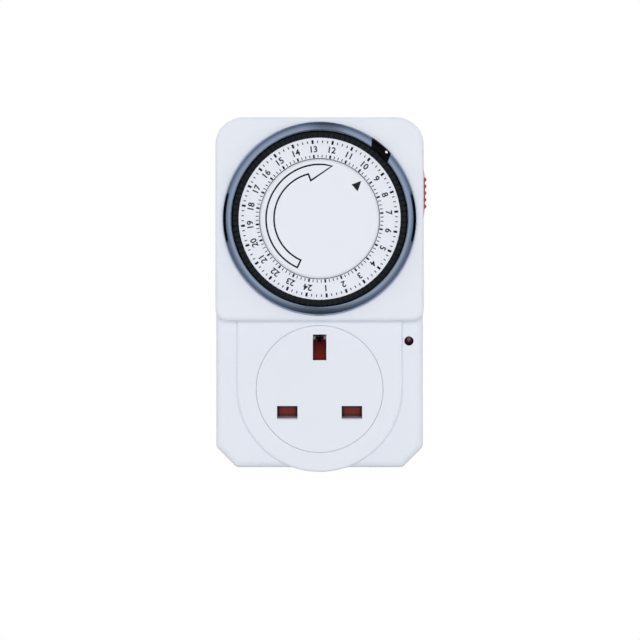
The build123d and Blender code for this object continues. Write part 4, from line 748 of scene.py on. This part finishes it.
arrow = flat_points(arc_corners(arrow_outer) + arrow_head + arc_corners(arrow_inner))
piece("turning_arrow", printed_line("turning_arrow", arrow, arrow_width, print_front),
      "ink_black", "housing")
pointer = flat_points(pointer_corners)
piece("time_pointer", printed_patch("time_pointer", pointer, print_front, pointer_rounding),
      "ink_black", "housing")


# ---------------------------------------------------------------- index dot on the ring
bezel_low, bezel_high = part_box("bezel_ring")
# The ring's outer slope is a quarter of an ellipse that starts at the crown
crown_radius = 30.648 * MM
outer_run = 2.65 * MM
outer_fall = 2.5 * MM
dot_place = 32.3 * MM
dot_clock = 45.1
dot_radius = 0.5 * MM
dot_height = 0.06 * MM


def domed_dot(name, centre, normal, radius, height, rings=5, around=24):
    """A low printed dome on a slope."""
    bm = bmesh.new()
    rows = []
    for ring in range(rings):
        rise = math.pi / 2 * ring / rings
        lift, reach = height * math.sin(rise), radius * math.cos(rise)
        rows.append([bm.verts.new((reach * math.cos(2 * math.pi * k / around),
                                   reach * math.sin(2 * math.pi * k / around), lift))
                     for k in range(around)])
    top = bm.verts.new((0.0, 0.0, height))
    for lower, upper in zip(rows, rows[1:]):
        for k in range(around):
            n = (k + 1) % around
            bm.faces.new((lower[k], lower[n], upper[n], upper[k]))
    for k in range(around):
        bm.faces.new((rows[-1][k], rows[-1][(k + 1) % around], top))
    bm.faces.new(list(reversed(rows[0])))
    turn = normal.to_track_quat("Z", "Y").to_matrix().to_4x4()
    bmesh.ops.transform(bm, matrix=Matrix.Translation(centre) @ turn, verts=bm.verts)
    return mesh_from(bm, name)


dot_slope = math.asin((dot_place - crown_radius) / outer_run)
dot_y = bezel_low.y + outer_fall * (1 - math.cos(dot_slope))
outward = math.sin(dot_slope) / outer_run
forward = math.cos(dot_slope) / outer_fall
dot_turn = math.radians(dot_clock)
dot_normal = Vector((outward * math.sin(dot_turn), -forward, outward * math.cos(dot_turn)))
piece("index_dot",
      domed_dot("index_dot", on_dial(dot_place, dot_clock, dot_y), dot_normal.normalized(),
                dot_radius, dot_height),
      "ink_white", "housing")


# ---------------------------------------------------------------- black ring behind the dial's gap, put there as painted shade
gap_shade_inner = 29.87 * MM
gap_shade_outer = 30.17 * MM
gap_shade_front = bezel_high.y - 0.6 * MM


def flat_ring(name, inner, outer, front, back, around=128):
    """A square sectioned ring round the dial's axis."""
    bm = bmesh.new()
    corners = [(inner, front), (outer, front), (outer, back), (inner, back)]
    closed_tube(bm, [[bm.verts.new(on_dial(radius, 360.0 * k / around, y))
                      for radius, y in corners] for k in range(around)])
    return mesh_from(bm, name)


# Painted shade: a black ring behind the gap stands for the shade deep inside it
piece("dial_gap_shade", flat_ring("dial_gap_shade", gap_shade_inner, gap_shade_outer, gap_shade_front, bezel_high.y),
      "black_plastic", "housing")


# ---------------------------------------------------------------- shutter spring
coil_steps = 28   # for each turn
wire_sides = 10


def build_coil():
    """Tree: a round wire wound on a cylinder, rising along Z."""
    tree, given = geometry_tree("coil", [
        ("Turns", "Float", 9.0), ("Coil Radius", "Float", MM), ("Height", "Float", 10 * MM),
        ("Wire Radius", "Float", 0.2 * MM)])
    path = put(tree, "GeometryNodeCurveSpiral", {
        "Resolution": coil_steps, "Rotations": given["Turns"], "Start Radius": given["Coil Radius"],
        "End Radius": given["Coil Radius"], "Height": given["Height"]})
    section = put(tree, "GeometryNodeCurvePrimitiveCircle", {
        "Resolution": wire_sides, "Radius": given["Wire Radius"]})
    wire = put(tree, "GeometryNodeCurveToMesh", {
        "Curve": path.outputs["Curve"], "Profile Curve": section.outputs["Curve"],
        "Fill Caps": True})
    return end_tree(tree, wire.outputs["Mesh"], given["Material"])


spring_low, spring_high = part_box("shutter_spring")
spring_turns = 9.0
spring_wire = 0.35 * MM
spring_open = spring_high.z - spring_low.z
coil_mesh = grown(build_coil(), {
    "Turns": spring_turns, "Coil Radius": (spring_high.x - spring_low.x - spring_wire) / 2,
    "Height": spring_open - spring_wire, "Wire Radius": spring_wire / 2,
    "Material": finishes["spring_steel"]}, "spring_coil")
coil_foot = Vector(((spring_low.x + spring_high.x) / 2, (spring_low.y + spring_high.y) / 2,
                    spring_low.z + spring_wire / 2))
coil_mesh.transform(Matrix.Translation(coil_foot))
spring_coil = piece("spring_coil", coil_mesh, "spring_steel", "housing")
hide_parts("shutter_spring")
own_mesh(spring_coil)


# ---------------------------------------------------------------- camera
# Straight at the front from far away; view_width is what the view spans at the aim
view_width = 0.2198
camera_distance = 2.7
sensor_width = 36.0
aim = Vector((0.14 * MM, -36.5 * MM, 31.6 * MM))
camera_data = bpy.data.cameras.new("camera")
camera_data.sensor_width = sensor_width
camera_data.lens = sensor_width * camera_distance / view_width
camera = in_scene("camera", camera_data)
camera.location = aim - Vector((0.0, camera_distance, 0.0))
camera.rotation_euler = (math.pi / 2, 0.0, 0.0)
bpy.context.scene.camera = camera


# ---------------------------------------------------------------- floor, world and lamps
plain_white = (1.0, 1.0, 1.0, 1.0)
floor_drop = 0.09
floor_radius = 6.0
floor_grey = (0.58, 0.59, 0.60, 1.0)
# Near the object the floor glows a little less, which leaves its shadow: distances and shares
floor_near, floor_far = 0.15, 0.7
glow_near, glow_far = 0.85, 1.0


def build_floor():
    """A wide pale floor below the object; its shadow stays visible."""
    bm = bmesh.new()
    bmesh.ops.create_circle(bm, cap_ends=True, segments=96, radius=floor_radius)
    mesh = mesh_from(bm, "floor")
    floor = in_scene("floor", mesh)
    floor.location = (0.0, 0.0, cad_low.z - floor_drop)
    floor.visible_glossy = False
    material, tree = bare_material("floor")
    path = put(tree, "ShaderNodeLightPath").outputs
    seen = calc(tree, "MAXIMUM", path["Is Camera Ray"], path["Is Transmission Ray"])
    away = put(tree, "ShaderNodeVectorMath", {0: object_place(tree)}, operation="LENGTH")
    share = remap(tree, away.outputs["Value"], floor_near, floor_far, glow_near, glow_far)
    matt = put(tree, "ShaderNodeBsdfDiffuse", {"Color": floor_grey})
    lit = put(tree, "ShaderNodeEmission", {"Color": plain_white, "Strength": 1.0})
    mixed = put(tree, "ShaderNodeMixShader", {
        0: calc(tree, "MULTIPLY", seen, share), 1: matt.outputs["BSDF"],
        2: lit.outputs["Emission"]})
    put(tree, "ShaderNodeOutputMaterial", {"Surface": mixed.outputs["Shader"]})
    mesh.materials.append(material)


# Brightness of the studio as glossy surfaces see it, by the angle from straight ahead
upper_levels = [(0.0, 0.88), (22.0, 0.84), (32.0, 0.78), (45.0, 0.72), (60.0, 0.57), (74.0, 0.42),
                (91.0, 0.33), (113.0, 0.30), (148.0, 0.28), (166.0, 0.75), (180.0, 0.80)]
lower_levels = [(0.0, 0.88), (22.0, 0.80), (31.0, 0.60), (47.0, 0.44), (60.0, 0.38), (74.0, 0.31),
                (91.0, 0.28), (113.0, 0.27), (148.0, 0.25), (166.0, 0.75), (180.0, 0.80)]
blue_start, blue_full = 22.0, 45.0
# Where the upper levels take over from the lower ones, in height round the Y axis, -1 to 1
level_change = (-0.2, 0.3)
# The dim strips, by clock angles in radians: from straight down, and from a middle near the top
bottom_strip = (0.1, 0.72)
bottom_dim = 0.33
top_strip_middle = math.radians(4.0)
top_strip = (math.radians(4.0), math.radians(14.0))
top_dim = 0.5
# The dark ends left and right: height of their middle, half heights of their edge, how far
# forward they reach, and their level
ends_middle = 0.025
ends_edge = (0.245, 0.265)
ends_front = (0.38, 0.5)
ends_dim = 0.012
# The even light: from where to where it changes, and its levels, by how far sideways and forwards
side_light = (0.3, 0.9, 1.0, 1.35)
front_light = (0.1, 0.5, 1.1, 0.33)


def level_ramp(tree, toward, levels):
    """Colour of the studio by the angle from straight ahead, bluer to the sides."""
    ramp = put(tree, "ShaderNodeValToRGB", {"Fac": calc(tree, "MULTIPLY_ADD", toward, 0.5, 0.5)})
    stops = ramp.color_ramp.elements
    while len(stops) < len(levels):
        stops.new(0.5)
    for stop, (angle, level) in zip(stops, reversed(levels)):
        blue = min(1.0, max(0.0, (angle - blue_start) / (blue_full - blue_start)))
        stop.position = (1 + math.cos(math.radians(angle))) / 2
        stop.color = (level * (1 - 0.1 * blue), level, level * (1 + 0.15 * blue), 1.0)
    return ramp.outputs["Color"]


def build_world():
    """White to the camera. Glossy surfaces see the studio: a light front, dimmer sides, below and
    at the very top, and dark ends to the left and right. Matt ones get an even light."""
    world = bpy.data.worlds.new("studio")
    bpy.context.scene.world = world
    world.use_nodes = True
    tree = world.node_tree
    tree.nodes.clear()
    way = put(tree, "ShaderNodeSeparateXYZ", {
        "Vector": put(tree, "ShaderNodeTexCoord").outputs["Generated"]}).outputs
    path = put(tree, "ShaderNodeLightPath").outputs
    toward = calc(tree, "MULTIPLY", way["Y"], -1.0)
    span = calc(tree, "SQRT", calc(tree, "SUBTRACT", 1.0, calc(tree, "MULTIPLY", toward, toward)))
    height = calc(tree, "DIVIDE", way["Z"], calc(tree, "MAXIMUM", span, 0.01))
    panels = blend_colours(tree, fade(tree, height, *level_change),
                           level_ramp(tree, toward, lower_levels),
                           level_ramp(tree, toward, upper_levels))
    clock = calc(tree, "ARCTAN2", way["X"], way["Z"])
    off_bottom = calc(tree, "SUBTRACT", math.pi, calc(tree, "ABSOLUTE", clock))
    below = remap(tree, off_bottom, *bottom_strip, bottom_dim, 1.0)
    above = remap(tree, away_from(tree, clock, top_strip_middle), *top_strip, top_dim, 1.0)
    off_level = fade(tree, away_from(tree, height, ends_middle), *ends_edge)
    ahead = fade(tree, toward, *ends_front)
    ends = remap(tree, calc(tree, "MAXIMUM", off_level, ahead), 0.0, 1.0, ends_dim, 1.0)
    glossy = tint(tree, panels, calc(tree, "MULTIPLY", calc(tree, "MULTIPLY", below, above), ends))
    sideways = remap(tree, calc(tree, "ABSOLUTE", way["X"]), *side_light)
    level = calc(tree, "MULTIPLY", sideways, remap(tree, toward, *front_light))
    ambient = put(tree, "ShaderNodeCombineXYZ", dict.fromkeys("XYZ", level)).outputs["Vector"]
    other = blend_colours(tree, path["Is Glossy Ray"], ambient, glossy)
    seen = blend_colours(tree, path["Is Camera Ray"], other, plain_white)
    background = put(tree, "ShaderNodeBackground", {"Color": seen, "Strength": 1.0})
    put(tree, "ShaderNodeOutputWorld", {"Surface": background.outputs["Background"]})


def soft_lamp(name, location, size, power):
    """A square soft box aimed at the middle of the object, for diffuse light only."""
    data = bpy.data.lights.new(name, "AREA")
    data.size = size
    data.energy = power
    lamp = in_scene(name, data)
    lamp.location = location
    middle = (cad_low + cad_high) / 2
    lamp.rotation_euler = (middle - Vector(location)).to_track_quat("-Z", "Y").to_euler()
    lamp.visible_camera = False
    lamp.visible_glossy = False


build_floor()
build_world()
soft_lamp("key", (-0.36, -1.53, 0.03), size=0.8, power=9.2)
soft_lamp("front", (0.36, -1.53, -0.05), size=0.8, power=9.2)
soft_lamp("rear", (0.3, 1.6, 0.6), size=0.9, power=5.3)
bpy.context.scene.view_settings.view_transform = "Standard"
